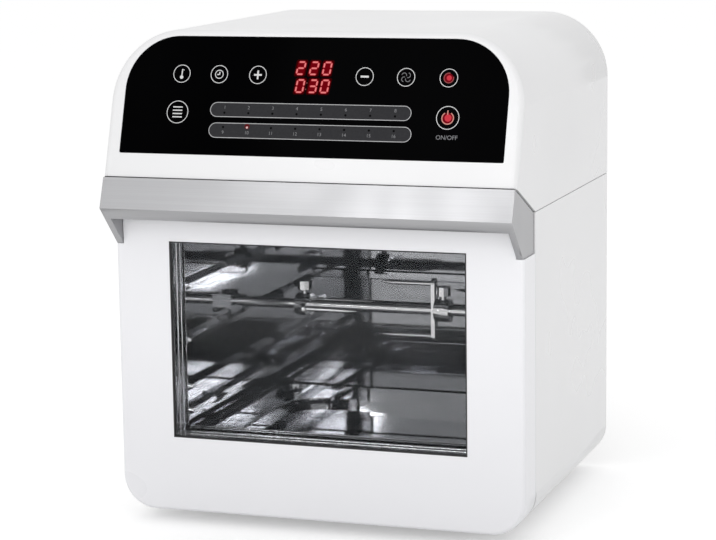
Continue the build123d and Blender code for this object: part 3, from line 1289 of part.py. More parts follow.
def handle_side(grow=0.0):
    """The same profile with its top rear corner rounded, or an outline round it."""
    profile = handle_profile()
    rear_top = profile.vertices().sort_by(Axis.X)[-2:].sort_by(Axis.Y)[-1]
    outline = fillet(rear_top, HANDLE_REAR_RADIUS)
    return outline if grow == 0 else offset(outline, grow, kind=Kind.INTERSECTION)


def lip_end():
    run = DOOR_FRONT - HANDLE_FRONT
    rise = HANDLE_NOSE_HEIGHT - HANDLE_TIP_HEIGHT
    length = math.hypot(run, rise)
    share = HANDLE_LIP / length
    return HANDLE_FRONT + run * share, HANDLE_NOSE_HEIGHT - rise * share


def make_handle():
    end = HALF_WIDTH - HANDLE_END_INSET
    inside = end - HANDLE_BRACKET
    handle = along_x(handle_side(), -end, end)
    handle = handle - along_x(handle_space(), -inside, inside)
    web_back = DOOR_FRONT - FIT
    web_top = slope_height(web_back, HANDLE_GAP + HANDLE_WALL / 2)
    web_bottom = HANDLE_NOSE_HEIGHT - HANDLE_WEB_DROP
    web = block(-inside, inside, web_back - HANDLE_WEB, web_back, web_bottom, web_top)
    save("door_handle", handle + web)


def handle_space():
    """The hollow behind the handle's front and lip, open below and over the door."""
    run = DOOR_FRONT - HANDLE_FRONT
    rise = HANDLE_NOSE_HEIGHT - HANDLE_TIP_HEIGHT
    length = math.hypot(run, rise)
    lip_y, lip_z = lip_end()
    inner_y = lip_y + HANDLE_WALL * rise / length
    inner_z = lip_z + HANDLE_WALL * run / length
    below = HANDLE_TIP_HEIGHT - rise
    past = DOOR_BACK + DOOR_THICKNESS
    drop = HANDLE_GAP + HANDLE_WALL
    open_side = Polygon(
        (inner_y, inner_z),
        (lip_y, lip_z),
        (lip_y, below),
        (past, below),
        (past, slope_height(past, drop)),
        (inner_y, slope_height(inner_y, drop)),
        align=None,
    )
    return offset(handle_profile(), -HANDLE_WALL, kind=Kind.INTERSECTION) + open_side


# Door hinges: a bracket with an arm on each side, a pin in it and a bush in the door
def hinge_screw_places():
    flange_x = HINGE_X - (HINGE_PLATE + HINGE_FOOT_WIDTH) / 2
    start = PIVOT_Y + SWING_RADIUS + WALL
    return [(side * flange_x, start + step) for side in (-1, 1) for step in HINGE_SCREW_STEPS]


def make_hinges():
    start = PIVOT_Y + SWING_RADIUS + WALL + FIT
    end = start + HINGE_UPRIGHT_LENGTH
    x0 = HINGE_X - HINGE_PLATE / 2
    x1 = HINGE_X + HINGE_PLATE / 2
    foot_base = FOOT_HEIGHT + WALL + FIT
    upright_top = foot_base + HINGE_UPRIGHT_HEIGHT
    upright = Polygon(
        (start, foot_base),
        (end, foot_base),
        (end, foot_base + HINGE_UPRIGHT_REAR),
        (start + HINGE_UPRIGHT_TOP, upright_top),
        (start, upright_top),
        align=None,
    )
    arm = Pos(PIVOT_Y, PIVOT_HEIGHT) * Circle(HINGE_ARM_RADIUS)
    arm_end = start + HINGE_UPRIGHT_TOP / 2
    arm = arm + Pos((PIVOT_Y + arm_end) / 2, PIVOT_HEIGHT) * Rectangle(
        arm_end - PIVOT_Y, 2 * HINGE_ARM_RADIUS
    )
    bracket = along_x(upright + arm, x0, x1)
    bracket = bracket + block(
        x0 - HINGE_FOOT_WIDTH, x1, start, end, foot_base, foot_base + HINGE_FOOT_SHEET
    )
    bracket = bracket & along_y(lower_outline(WALL + FIT), HANDLE_FRONT, REAR)
    hole = rod_x(PIN_RADIUS + PIN_CLEARANCE, x0 - PAST, x1 + PAST, PIVOT_Y, PIVOT_HEIGHT)
    bracket = bracket - hole
    for x, y in hinge_screw_places():
        if x > 0:
            bracket = bracket - rod_z(SCREW_RADIUS + SCREW_CLEARANCE, 0, PIVOT_HEIGHT, x, y)
    pin = rod_x(PIN_RADIUS, x1 - PIN_LENGTH, x1, PIVOT_Y, PIVOT_HEIGHT)
    pin = pin + rod_x(PIN_HEAD_RADIUS, x1, x1 + PIN_HEAD, PIVOT_Y, PIVOT_HEIGHT)
    boss_in = HINGE_X - HINGE_SLOT / 2
    bush = rod_x(PIN_RADIUS + BUSH_WALL, boss_in - BUSH_LENGTH, boss_in, PIVOT_Y, PIVOT_HEIGHT)
    bush = bush - rod_x(
        PIN_RADIUS + PIN_CLEARANCE, boss_in - BUSH_LENGTH - PAST, boss_in + PAST, PIVOT_Y, PIVOT_HEIGHT
    )
    save("hinge_brackets", *both_sides(bracket))
    save("hinge_pins", *both_sides(pin))
    save("hinge_bushes", *both_sides(bush))


def main():
    os.makedirs("parts", exist_ok=True)
    make_upper_housing()
    make_lower_housing()
    make_feet()
    make_rear_panel()
    make_control_panel()
    make_front_frame()
    make_side_walls()
    make_back_wall()
    make_floor_and_ceiling()
    make_fan_guard()
    make_shroud()
    make_heater()
    make_fan()
    make_motor()
    make_heat_shield()
    make_electrics()
    make_lamp()
    make_rotisserie()
    make_drip_tray()
    save("door_frame", make_door_frame())
    make_door_inner()
    make_handle()
    make_hinges()


main()
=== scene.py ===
import json
import math

import bmesh
import bpy
from mathutils import Matrix, Vector


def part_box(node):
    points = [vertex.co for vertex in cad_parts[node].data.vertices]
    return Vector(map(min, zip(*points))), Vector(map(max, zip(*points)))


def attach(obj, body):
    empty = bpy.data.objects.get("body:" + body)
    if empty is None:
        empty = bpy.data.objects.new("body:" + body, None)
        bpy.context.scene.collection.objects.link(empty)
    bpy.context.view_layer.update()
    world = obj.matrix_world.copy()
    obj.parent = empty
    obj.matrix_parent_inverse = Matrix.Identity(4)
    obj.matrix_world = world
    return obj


# A digital air-fryer oven with a rotisserie spit, in metres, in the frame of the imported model
MM = 0.001

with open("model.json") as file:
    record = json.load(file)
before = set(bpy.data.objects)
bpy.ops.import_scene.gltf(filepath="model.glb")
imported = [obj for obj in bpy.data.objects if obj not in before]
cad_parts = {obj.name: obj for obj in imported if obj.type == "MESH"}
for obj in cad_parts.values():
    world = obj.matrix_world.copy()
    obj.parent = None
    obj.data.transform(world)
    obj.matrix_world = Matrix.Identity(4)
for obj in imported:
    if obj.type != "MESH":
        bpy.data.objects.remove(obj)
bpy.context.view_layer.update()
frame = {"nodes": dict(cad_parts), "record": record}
NODES = frame["nodes"]

# Camera fitted to the photograph's edges, its lens and sensor in millimetres
CAMERA_PLACE = (0.60076, -1.75636, 0.49799)
CAMERA_RIGHT = (0.94586949, 0.32425417, -0.01378886)
CAMERA_DOWN = (0.04136898, -0.16259792, -0.98582479)
CAMERA_FORWARD = (-0.32189984, 0.93189117, -0.16721047)
CAMERA_LENS = 120.7
CAMERA_SENSOR = 36.0

# Touch panel: places are millimetres from its middle and up its slope from its lower edge
PANEL_TILT = math.radians(18.0)
PANEL_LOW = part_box("control_panel")[0]
PANEL_THICKNESS = 2.0 * MM
PRINT_THICKNESS = 0.05 * MM
PRINT_GAP = 0.01 * MM
SMALL_RING = 6.85
LARGE_RING = 8.6
RING_LINE = 0.5
SMALL_KEY_UP = 60.7
LARGE_KEY_UP = 31.6
SMALL_KEYS = {
    "temperature": (-104.2, SMALL_KEY_UP),
    "time": (-74.2, SMALL_KEY_UP),
    "plus": (-43.6, SMALL_KEY_UP),
    "minus": (39.4, SMALL_KEY_UP),
    "fan": (70.9, SMALL_KEY_UP),
    "spit": (103.1, SMALL_KEY_UP),
}
LARGE_KEYS = {"menu": (-104.8, LARGE_KEY_UP), "power": (104.7, LARGE_KEY_UP)}

# Pictograms: strokes as x0, y0, x1, y1 and line width in millimetres, from the middle of their key
SYMBOL_STROKES = {
    "temperature": ((0.0, -1.6, 0.3, 3.5, 0.9), (0.9, 2.9, 1.8, 2.9, 0.5)),
    "time": ((0.3, -0.3, 0.3, 1.9, 0.8), (-1.6, -0.2, -0.15, -0.2, 0.8)),
    "plus": ((-3.1, 0.0, 3.1, 0.0, 1.3), (0.0, -3.3, 0.0, -0.65, 1.3), (0.0, 0.65, 0.0, 3.3, 1.3)),
    "minus": ((-3.1, 0.0, 3.1, 0.0, 1.4),),
    "menu": tuple((-3.8, height, 3.8, height, 0.85) for height in (-3.7, -1.2, 1.3, 3.8)),
}
BULB_DROP = 2.6
BULB_RADIUS = 1.35
CLOCK_RADIUS = 3.4
CLOCK_LINE = 0.6
FAN_TURNS = (0, 90, 180, 270)
FAN_LEAD = 45
FAN_REACH = 2.1
FAN_ARC_RADIUS = 2.0
FAN_ARC_LINE = 0.45
FAN_ARC_START = -110
FAN_ARC_SWEEP = 190
ON_OFF_SHIFT = 0.4
ON_OFF_DROP = 14.6
ON_OFF_SIZE = 4.5

# Red lamps in the spit key and the power key
KEY_LAMP_SHIFT = 0.3
SPIT_GLOW_RADIUS = 3.3
SPIT_LAMP_RADIUS = 1.9
SPIT_ARC = {"radius": 3.9, "line": 0.6, "start": 75.0, "sweep": 300.0}
POWER_GLOW_DROP = 0.3
POWER_LAMP_DROP = 0.2
POWER_GLOW_RADIUS = 4.0
POWER_LAMP_RADIUS = 2.6
POWER_ARC = {"radius": 4.7, "line": 0.75, "start": 122.0, "sweep": 296.0}
POWER_STROKE = (-0.2, 2.2, -0.2, 5.4, 0.8)

# The two indicator bars, as left, right, low and high, with their dots and numbers
BARS = ((-78.8, 77.3, 28.6, 39.7), (-78.5, 78.6, 12.9, 24.3))
BAR_LINE = 0.5
DOT_START = -67.2
DOT_PITCH = 18.9
DOT_COUNT = 8
DOT_RADIUS = 0.85
DOT_HEIGHTS = (31.8, 21.0)
NUMBER_HEIGHTS = (35.8, 17.0)
NUMBER_SIZE = 3.5
LIT_ROW = 1
LIT_DOT = 1
LIT_SHARE = 0.95
HALO_SHARE = 2.4
HALO_RISE = 0.8

# Seven-segment display: each row's foot, its characters and the places of their feet
DIGIT_ROWS = ((61.7, "220", (-13.5, -3.3, 6.8)), (48.3, "030", (-13.1, -3.1, 6.1)))
DIGIT_WIDTH = 5.4
DIGIT_HEIGHT = 9.1
DIGIT_SLANT = math.tan(math.radians(7.5))
DIGIT_LINE = 1.1
DIGIT_GAP = 0.45
NEAR_GLOW = 0.4
MIDDLE_GLOW = DIGIT_LINE / 2
FAR_GLOW = 1.6 * DIGIT_LINE
GLOW_CORNER_SHARE = 0.6
COLON_X = -5.6
COLON_RADIUS = 0.55
COLON_SHARES = (0.24, 0.76)
SEGMENTS = {"0": "abcdef", "2": "abged", "3": "abgcd"}

# Sharp edges of the mouldings and sheets get a small radius, in millimetres, that catches the light
EDGE_RADII = {
    "upper_housing": 0.5, "lower_housing": 0.5, "door_frame": 0.5, "door_handle": 0.7, "feet": 0.6,
    "rear_panel": 0.3, "cavity_left_wall": 0.5, "cavity_right_wall": 0.5, "cavity_back_wall": 0.8,
    "drip_tray": 0.8, "window_liner": 0.5, "spit_fork_left": 0.4, "spit_fork_right": 0.4,
    "spit_support": 0.3, "fork_screw_left": 0.4, "fork_screw_right": 0.4, "drive_socket": 0.3,
    "door_inner_panel": 0.3, "front_frame": 0.3, "hinge_brackets": 0.3, "cord_gland": 0.3,
}
EDGE_ANGLE = math.radians(28.0)
EDGE_SEGMENTS = 3
WELD_DISTANCE = 0.002 * MM

# Window in the door: the panes reach behind its edge by the overlap
WINDOW_OVERLAP = 6.0 * MM
TRIM_WIDTH = 0.9 * MM
TRIM_PROUD = 0.15 * MM
TRIM_PANE_GAP = 0.1 * MM

# Beads pressed into the steel border between the two panes
BEAD_SHARES = (0.34, 0.72)
BEAD_WIDTH = 1.0 * MM
BEAD_RISE = 0.45 * MM
BEAD_EDGE = 0.2 * MM
BEAD_SEGMENTS = 2

# Rails pressed into the oven's side walls, in millimetres above the table; bright beads along them, a painted
# highlight on the rail edges; and bright strips on the tray's rim
RAIL_HEIGHTS = (60.0, 79.0, 98.0, 135.0, 178.0)
RAIL_HIGHLIGHT_OFFSET = 1.1 * MM
RAIL_HIGHLIGHT_WIDTH = 0.55 * MM
BRIGHT_STRIP_RISE = 0.25 * MM
BRIGHT_STRIP_EDGE = 0.2 * MM
RAIL_HIGHLIGHT_END = 12.0 * MM
TRAY_STRIP_WIDTH = 0.8 * MM
TRAY_STRIP_END = 14.0 * MM

# Black strip on the handle's sloping top and grey strips in the joint between the housings: painted shade in
# those gaps
HANDLE_TOP_FALL = 23.5
HANDLE_TOP_RUN = 50.75
SLOPE_ANGLE = math.atan2(HANDLE_TOP_FALL, HANDLE_TOP_RUN)
HANDLE_SETBACK = 1.8 * MM
GAP_SHADE_INSET = 0.8 * MM
GAP_SHADE_WIDTH = 1.2 * MM
GAP_SHADE_HEIGHT = 0.9 * MM
SEAM_INSET = 0.35 * MM
SEAM_DEPTH = 1.0 * MM
SEAM_END = 1.0 * MM
SEAM_SHADE_GREY = (0.60, 0.60, 0.61)

# Studio
SKY_LEVEL = 0.78
FLOOR_COLOUR = 0.85
FLOOR_REACH = 14.0
OBJECT_MIDDLE = (0.0, 0.0, 0.15)

# Lamps: name, place, aim, width and height in metres, brightness, and roll in degrees
LAMPS = (
    ("handle_box", (-0.58, -2.14, 1.42), (0.0, -0.14, 0.26), 0.6, 0.4, 4.6, 0.0),
    ("rail_strip", (0.38, -1.85, 0.68), OBJECT_MIDDLE, 0.55, 0.07, 18.0, -45.0),
    ("floor_card", (0.0, -0.80, 0.012), (0.0, -0.80, 1.0), 1.0, 0.25, 1.5, 0.0),
    ("wall_box", (0.76, -1.85, 0.53), OBJECT_MIDDLE, 0.10, 0.12, 24.0, 0.0),
    ("tray_left", (-0.74, -1.85, 0.555), OBJECT_MIDDLE, 0.09, 0.07, 26.0, 25.0),
    ("tray_right", (0.55, -1.85, 0.575), OBJECT_MIDDLE, 0.05, 0.05, 60.0, 30.0),
    ("floor_strip", (0.24, -0.62, 0.012), (0.24, -0.62, 1.0), 0.06, 0.17, 20.0, 0.0),
    ("side_box", (1.9, 0.6, 0.5), OBJECT_MIDDLE, 1.0, 0.8, 0.8, 0.0),
    ("top_box", (-0.2, 0.2, 1.9), OBJECT_MIDDLE, 1.2, 1.2, 0.5, 0.0),
)
LAMP_WHITE = (1.0, 1.0, 1.0)
OVEN_LAMP_GAP = 4.0 * MM
OVEN_LAMP_AIM = (0.0, 0.0, 0.1)
OVEN_LAMP_SIZE = 0.03
OVEN_LAMP_BRIGHTNESS = 330.0
OVEN_LAMP_COLOUR = (1.0, 0.97, 0.93)

# Most of a noise lies between these values
NOISE_LOW = 0.3
NOISE_HIGH = 0.7


# Node helpers
def new_material(name):
    """A material with one principled shader."""
    material = bpy.data.materials.new(name)
    material.use_nodes = True
    tree = material.node_tree
    tree.nodes.clear()
    output = tree.nodes.new("ShaderNodeOutputMaterial")
    shader = tree.nodes.new("ShaderNodeBsdfPrincipled")
    tree.links.new(shader.outputs["BSDF"], output.inputs["Surface"])
    return material, tree, shader


def object_place(tree, scale=(1.0, 1.0, 1.0)):
    """The place on the object, stretched along each axis."""
    place = tree.nodes.new("ShaderNodeTexCoord")
    mapping = tree.nodes.new("ShaderNodeMapping")
    mapping.inputs["Scale"].default_value = scale
    tree.links.new(place.outputs["Object"], mapping.inputs["Vector"])
    return mapping.outputs["Vector"]


def noise(tree, vector, scale, detail=2.0):
    node = tree.nodes.new("ShaderNodeTexNoise")
    node.inputs["Scale"].default_value = scale
    node.inputs["Detail"].default_value = detail
    tree.links.new(vector, node.inputs["Vector"])
    return node.outputs["Fac"]


def spread(tree, value, low, high):
    """Maps a noise onto low to high."""
    node = tree.nodes.new("ShaderNodeMapRange")
    node.inputs["From Min"].default_value = NOISE_LOW
    node.inputs["From Max"].default_value = NOISE_HIGH
    node.inputs["To Min"].default_value = low
    node.inputs["To Max"].default_value = high
    tree.links.new(value, node.inputs["Value"])
    return node.outputs["Result"]


def tint(tree, value, first, second):
    """A mix of two colours by a value from 0 to 1."""
    node = tree.nodes.new("ShaderNodeMix")
    node.data_type = "RGBA"
    node.inputs["A"].default_value = (*first, 1.0)
    node.inputs["B"].default_value = (*second, 1.0)
    tree.links.new(value, node.inputs["Factor"])
    return node.outputs["Result"]


def paint(tree, shader, value, first, second):
    """Lets the base colour wander between two colours with a noise."""
    tree.links.new(tint(tree, spread(tree, value, 0.0, 1.0), first, second), shader.inputs["Base Color"])


def roughen(tree, shader, value, low, high):
    """Lets the roughness wander from low to high with a noise."""
    tree.links.new(spread(tree, value, low, high), shader.inputs["Roughness"])


def bump(tree, shader, value, strength, distance):
    node = tree.nodes.new("ShaderNodeBump")
    node.inputs["Strength"].default_value = strength
    node.inputs["Distance"].default_value = distance
    tree.links.new(value, node.inputs["Height"])
    tree.links.new(node.outputs["Normal"], shader.inputs["Normal"])


def shade(colour, share):
    return tuple(channel * share for channel in colour)


# Materials
def moulded(name, colour, roughness):
    """Injection moulded plastic: a faint orange peel, with gloss that varies a little."""
    material, tree, shader = new_material(name)
    vector = object_place(tree)
    soft = noise(tree, vector, scale=9.0)
    paint(tree, shader, soft, colour, shade(colour, 0.985))
    roughen(tree, shader, soft, roughness * 0.88, roughness * 1.12)
    bump(tree, shader, noise(tree, vector, scale=1400.0, detail=3.0), strength=0.05, distance=0.0002)
    return material


def brushed(name, colour, roughness, along, coarse=5.0, fine=1500.0, depth=0.08, dark=0.93):
    """Metal with fine scratches that run along one axis."""
    material, tree, shader = new_material(name)
    scale = [fine, fine, fine]
    scale["XYZ".index(along)] = coarse
    lines = noise(tree, object_place(tree, tuple(scale)), scale=1.0, detail=3.0)
    cloud = noise(tree, object_place(tree), scale=14.0)
    paint(tree, shader, lines, colour, shade(colour, dark))
    roughen(tree, shader, cloud, roughness * 0.85, roughness * 1.15)
    shader.inputs["Metallic"].default_value = 1.0
    bump(tree, shader, lines, strength=depth, distance=0.0002)
    return material


def polished(name, colour, roughness):
    """Pressed sheet with a mirror finish that is slightly uneven."""
    material, tree, shader = new_material(name)
    vector = object_place(tree)
    ripple = noise(tree, vector, scale=26.0, detail=1.0)
    smear = noise(tree, object_place(tree, (1.0, 4.0, 9.0)), scale=18.0, detail=4.0)
    paint(tree, shader, smear, colour, shade(colour, 0.82))
    roughen(tree, shader, smear, roughness * 0.7, roughness * 1.6)
    shader.inputs["Metallic"].default_value = 1.0
    bump(tree, shader, ripple, strength=0.01, distance=0.002)
    return material


def bright_strip_metal(name, colour, roughness):
    """Bright bare metal, darker in patches along its length; on the rail beads this brightness is a painted
    highlight.
    """
    material, tree, shader = new_material(name)
    patches = noise(tree, object_place(tree, (1.0, 60.0, 1.0)), scale=1.0, detail=3.0)
    paint(tree, shader, patches, colour, shade(colour, 0.45))
    roughen(tree, shader, patches, roughness, roughness * 1.6)
    shader.inputs["Metallic"].default_value = 1.0
    return material


def zinc(name, colour):
    """Zinc coated sheet with its spangle."""
    material, tree, shader = new_material(name)
    vector = object_place(tree)
    cells = tree.nodes.new("ShaderNodeTexVoronoi")
    cells.inputs["Scale"].default_value = 160.0
    tree.links.new(vector, cells.inputs["Vector"])
    tree.links.new(tint(tree, cells.outputs["Distance"], shade(colour, 1.08), shade(colour, 0.8)),
                   shader.inputs["Base Color"])
    roughen(tree, shader, noise(tree, vector, scale=30.0), 0.34, 0.5)
    shader.inputs["Metallic"].default_value = 1.0
    return material


def grained(name, colour, roughness, scale=900.0, strength=0.35):
    """Textured plastic or rubber."""
    material, tree, shader = new_material(name)
    fine = noise(tree, object_place(tree), scale)
    paint(tree, shader, fine, colour, shade(colour, 1.35))
    roughen(tree, shader, fine, roughness * 0.9, roughness * 1.1)
    bump(tree, shader, fine, strength, distance=0.0003)
    return material


def black_glass(name):
    """The panel's printed glass: deep black with a clear gloss."""
    material, tree, shader = new_material(name)
    haze = noise(tree, object_place(tree), scale=11.0)
    paint(tree, shader, haze, (0.0008, 0.0008, 0.0010), (0.0013, 0.0013, 0.0015))
    roughen(tree, shader, haze, 0.05, 0.09)
    shader.inputs["Specular IOR Level"].default_value = 0.002
    return material


def clear_glass(name, alpha, colour):
    """Thin glass that lets most light straight through."""
    material, tree, shader = new_material(name)
    roughen(tree, shader, noise(tree, object_place(tree), scale=8.0), 0.02, 0.05)
    shader.inputs["Base Color"].default_value = (*colour, 1.0)
    shader.inputs["Alpha"].default_value = alpha
    return material


def light(name, colour):
    """A lit print or lamp behind the panel's glass."""
    material, _, shader = new_material(name)
    shader.inputs["Base Color"].default_value = (0.02, 0.0, 0.0, 1.0)
    shader.inputs["Emission Color"].default_value = (*colour, 1.0)
    shader.inputs["Emission Strength"].default_value = 1.0
    shader.inputs["Roughness"].default_value = 0.4
    shader.inputs["Specular IOR Level"].default_value = 0.0
    return material


def ink(name, colour):
    """Print on the back of the panel's glass."""
    material, tree, shader = new_material(name)
    speck = noise(tree, object_place(tree), scale=700.0)
    paint(tree, shader, speck, colour, shade(colour, 0.85))
    shader.inputs["Roughness"].default_value = 0.5
    shader.inputs["Specular IOR Level"].default_value = 0.02
    return material


def board(name):
    """Green solder mask with its copper tracks showing through."""
    material, tree, shader = new_material(name)
    bricks = tree.nodes.new("ShaderNodeTexBrick")
    bricks.inputs["Scale"].default_value = 120.0
    bricks.inputs["Mortar Size"].default_value = 0.06
    bricks.inputs["Color1"].default_value = (0.012, 0.10, 0.04, 1.0)
    bricks.inputs["Color2"].default_value = (0.010, 0.08, 0.035, 1.0)
    bricks.inputs["Mortar"].default_value = (0.05, 0.20, 0.07, 1.0)
    tree.links.new(object_place(tree), bricks.inputs["Vector"])
    tree.links.new(bricks.outputs["Color"], shader.inputs["Base Color"])
    shader.inputs["Roughness"].default_value = 0.35
    return material


WHITE = (0.82, 0.82, 0.828)
DOOR_WHITE = (0.87, 0.87, 0.895)
SLOT_MATERIALS = {
    "white_moulding": moulded("white_moulding", WHITE, 0.30),
    "door_moulding": moulded("door_moulding", DOOR_WHITE, 0.30),
    "silver_handle": brushed("silver_handle", (0.38, 0.38, 0.39), 0.33, "X", depth=0.02),
    "panel_black": black_glass("panel_black"),
    "window_glass": clear_glass("window_glass", 0.04, (0.10, 0.11, 0.12)),
    "polished_steel": polished("polished_steel", (0.40, 0.405, 0.42), 0.03),
    "dark_enamel": polished("dark_enamel", (0.31, 0.315, 0.33), 0.04),
    "zinc_sheet": zinc("zinc_sheet", (0.52, 0.54, 0.56)),
    "steel_rod": brushed("steel_rod", (0.68, 0.68, 0.69), 0.16, "X", coarse=30.0, fine=900.0, depth=0.03),
    "heater_tube": grained("heater_tube", (0.10, 0.09, 0.085), 0.45, scale=500.0, strength=0.2),
    "black_plastic": grained("black_plastic", (0.024, 0.024, 0.026), 0.55),
    "rubber_black": grained("rubber_black", (0.022, 0.022, 0.023), 0.75, scale=1200.0, strength=0.25),
    "gasket_grey": grained("gasket_grey", (0.10, 0.10, 0.105), 0.6, scale=1200.0, strength=0.2),
    "circuit_board": board("circuit_board"),
    "display_red": grained("display_red", (0.02, 0.002, 0.002), 0.3, scale=600.0, strength=0.05),
    "brass_bush": brushed("brass_bush", (0.60, 0.42, 0.20), 0.32, "X", coarse=30.0),
    "screw_steel": brushed("screw_steel", (0.50, 0.50, 0.52), 0.3, "Z", coarse=40.0, fine=900.0, depth=0.05),
    "lamp_glass": clear_glass("lamp_glass", 0.30, (0.80, 0.80, 0.78)),
    "magnet_grey": brushed("magnet_grey", (0.35, 0.35, 0.37), 0.35, "X", coarse=40.0),
    # Bright steel for the rail beads, where it is a painted highlight, and for the tray's rim strips.
    "bright_strip_steel": bright_strip_metal("bright_strip_steel", (0.95, 0.95, 0.97), 0.16),
}


def dress_nodes():
    """Each node gets the material of its slot, and the window's steel border its own brushed steel, whose
    strong dark and light streaks are partly brushing and partly painted reflection bands.
    """
    slots = {part["node"]: part["material_slot"] for part in frame["record"]["subparts"]}
    for name, node in NODES.items():
        node.data.materials.clear()
        node.data.materials.append(SLOT_MATERIALS[slots[name]])
    # The liner's streaks, down to an eighth of its colour, are painted reflection bands over a brushed
    # finish.
    liner = NODES["window_liner"]
    liner.data.materials.clear()
    liner.data.materials.append(
        brushed("liner_steel_painted_reflections", (0.62, 0.63, 0.65), 0.16, "Z", coarse=40.0, fine=700.0, depth=0.3, dark=0.12)
    )


def round_edges():
    """Welds each mesh and rounds its sharp edges."""
    for name, radius in EDGE_RADII.items():
        node = NODES[name]
        weld = node.modifiers.new("weld", "WELD")
        weld.merge_threshold = WELD_DISTANCE
        bevel = node.modifiers.new("bevel", "BEVEL")
        bevel.width = radius * MM
        bevel.segments = EDGE_SEGMENTS
        bevel.limit_method = "ANGLE"
        bevel.angle_limit = EDGE_ANGLE
        bevel.harden_normals = True


# Flat prints: polygons in panel millimetres, given a hair of thickness
def on_panel(x, up, out=0.0):
    """A point on the panel's face: x and up in millimetres, out in metres from the glass."""
    sin, cos = math.sin(PANEL_TILT), math.cos(PANEL_TILT)
    foot_y = PANEL_LOW.y
    foot_z = PANEL_LOW.z + PANEL_THICKNESS * sin
    rise = up * MM
    return Vector((x * MM, foot_y + rise * sin - out * cos, foot_z + rise * cos + out * sin))


def circle_points(x, y, radius, count):
    steps = [2 * math.pi * n / count for n in range(count)]
    return [(x + radius * math.cos(a), y + radius * math.sin(a)) for a in steps]


def ring_faces(x, y, radius, line, start=0.0, sweep=360.0, count=40):
    """Quads along an arc of the given line width, in degrees anticlockwise."""
    faces = []
    for n in range(count):
        a0 = math.radians(start + sweep * n / count)
        a1 = math.radians(start + sweep * (n + 1) / count)
        corners = []
        for radius_at, angle in ((radius, a0), (radius, a1), (radius - line, a1), (radius - line, a0)):
            corners.append((x + radius_at * math.cos(angle), y + radius_at * math.sin(angle)))
        faces.append(corners)
    return faces


def stroke(x0, y0, x1, y1, line):
    """A straight line with square ends."""
    length = math.hypot(x1 - x0, y1 - y0)
    nx, ny = -(y1 - y0) / length * line / 2, (x1 - x0) / length * line / 2
    return [(x0 - nx, y0 - ny), (x1 - nx, y1 - ny), (x1 + nx, y1 + ny), (x0 + nx, y0 + ny)]


def capsule_points(x0, x1, y0, y1, count=16):
    """The outline of a bar with round ends."""
    radius = (y1 - y0) / 2
    middle = (y0 + y1) / 2
    points = []
    for centre, start in ((x1 - radius, -90.0), (x0 + radius, 90.0)):
        for n in range(count + 1):
            angle = math.radians(start + 180.0 * n / count)
            points.append((centre + radius * math.cos(angle), middle + radius * math.sin(angle)))
    return points


def outline_faces(outer, inner):
    """Quads between two outlines with as many points each."""
    faces = []
    for n in range(len(outer)):
        m = (n + 1) % len(outer)
        faces.append([outer[n], outer[m], inner[m], inner[n]])
    return faces


def add_piece(name, vertices, faces, material, body):
    """A mesh of its own that rides on a body."""
    mesh = bpy.data.meshes.new(name)
    mesh.from_pydata(vertices, [], faces)
    mesh.materials.append(material)
    mesh.update()
    piece = bpy.data.objects.new(name, mesh)
    bpy.context.scene.collection.objects.link(piece)
    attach(piece, body)
    return piece


def panel_print(name, polygons, material, level=0):
    """Prisms of the polygons that stand on the panel's face; level lifts them over others."""
    base = level * PRINT_THICKNESS + PRINT_GAP
    top = base + PRINT_THICKNESS
    vertices = []
    faces = []
    for polygon in polygons:
        count = len(polygon)
        start = len(vertices)
        vertices += [on_panel(x, up, base) for x, up in polygon]
        vertices += [on_panel(x, up, top) for x, up in polygon]
        faces.append([start + n for n in reversed(range(count))])
        faces.append([start + count + n for n in range(count)])
        for n in range(count):
            m = (n + 1) % count
            faces.append([start + n, start + m, start + count + m, start + count + n])
    add_piece(name, vertices, faces, material, "root")


def text_piece(name, words, x, up, size, material):
    """Plain characters, centred at a place on the panel."""
    curve = bpy.data.curves.new(name, "FONT")
    curve.body = words
    curve.size = size * MM
    curve.extrude = PRINT_THICKNESS / 2
    curve.align_x = "CENTER"
    curve.align_y = "CENTER"
    curve.materials.append(material)
    holder = bpy.data.objects.new(name + "_curve", curve)
    bpy.context.scene.collection.objects.link(holder)
    bpy.context.view_layer.update()
    graph = bpy.context.evaluated_depsgraph_get()
    mesh = bpy.data.meshes.new_from_object(holder.evaluated_get(graph))
    bpy.data.objects.remove(holder)
    upright = Matrix.Rotation(math.pi / 2 - PANEL_TILT, 4, "X")
    mesh.transform(Matrix.Translation(on_panel(x, up, PRINT_THICKNESS)) @ upright)
    piece = bpy.data.objects.new(name, mesh)
    bpy.context.scene.collection.objects.link(piece)
    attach(piece, "root")


def key_symbols():
    """The pictograms inside the rings, as polygons."""
    shapes = []
    keys = {**SMALL_KEYS, **LARGE_KEYS}
    for key, strokes in SYMBOL_STROKES.items():
        x, y = keys[key]
        for x0, y0, x1, y1, line in strokes:
            shapes.append(stroke(x + x0, y + y0, x + x1, y + y1, line))
    x, y = SMALL_KEYS["temperature"]
    shapes.append(circle_points(x, y - BULB_DROP, BULB_RADIUS, count=20))
    x, y = SMALL_KEYS["time"]
    shapes += ring_faces(x, y, CLOCK_RADIUS, CLOCK_LINE, count=24)
    return shapes


def fan_symbol():
    """Four thin curved blades."""
    x, y = SMALL_KEYS["fan"]
    shapes = []
    for turn in FAN_TURNS:
        a = math.radians(turn + FAN_LEAD)
        centre = (x + FAN_REACH * math.cos(a), y + FAN_REACH * math.sin(a))
        start = turn + FAN_ARC_START
        shapes += ring_faces(*centre, FAN_ARC_RADIUS, FAN_ARC_LINE, start, FAN_ARC_SWEEP, count=12)
    return shapes


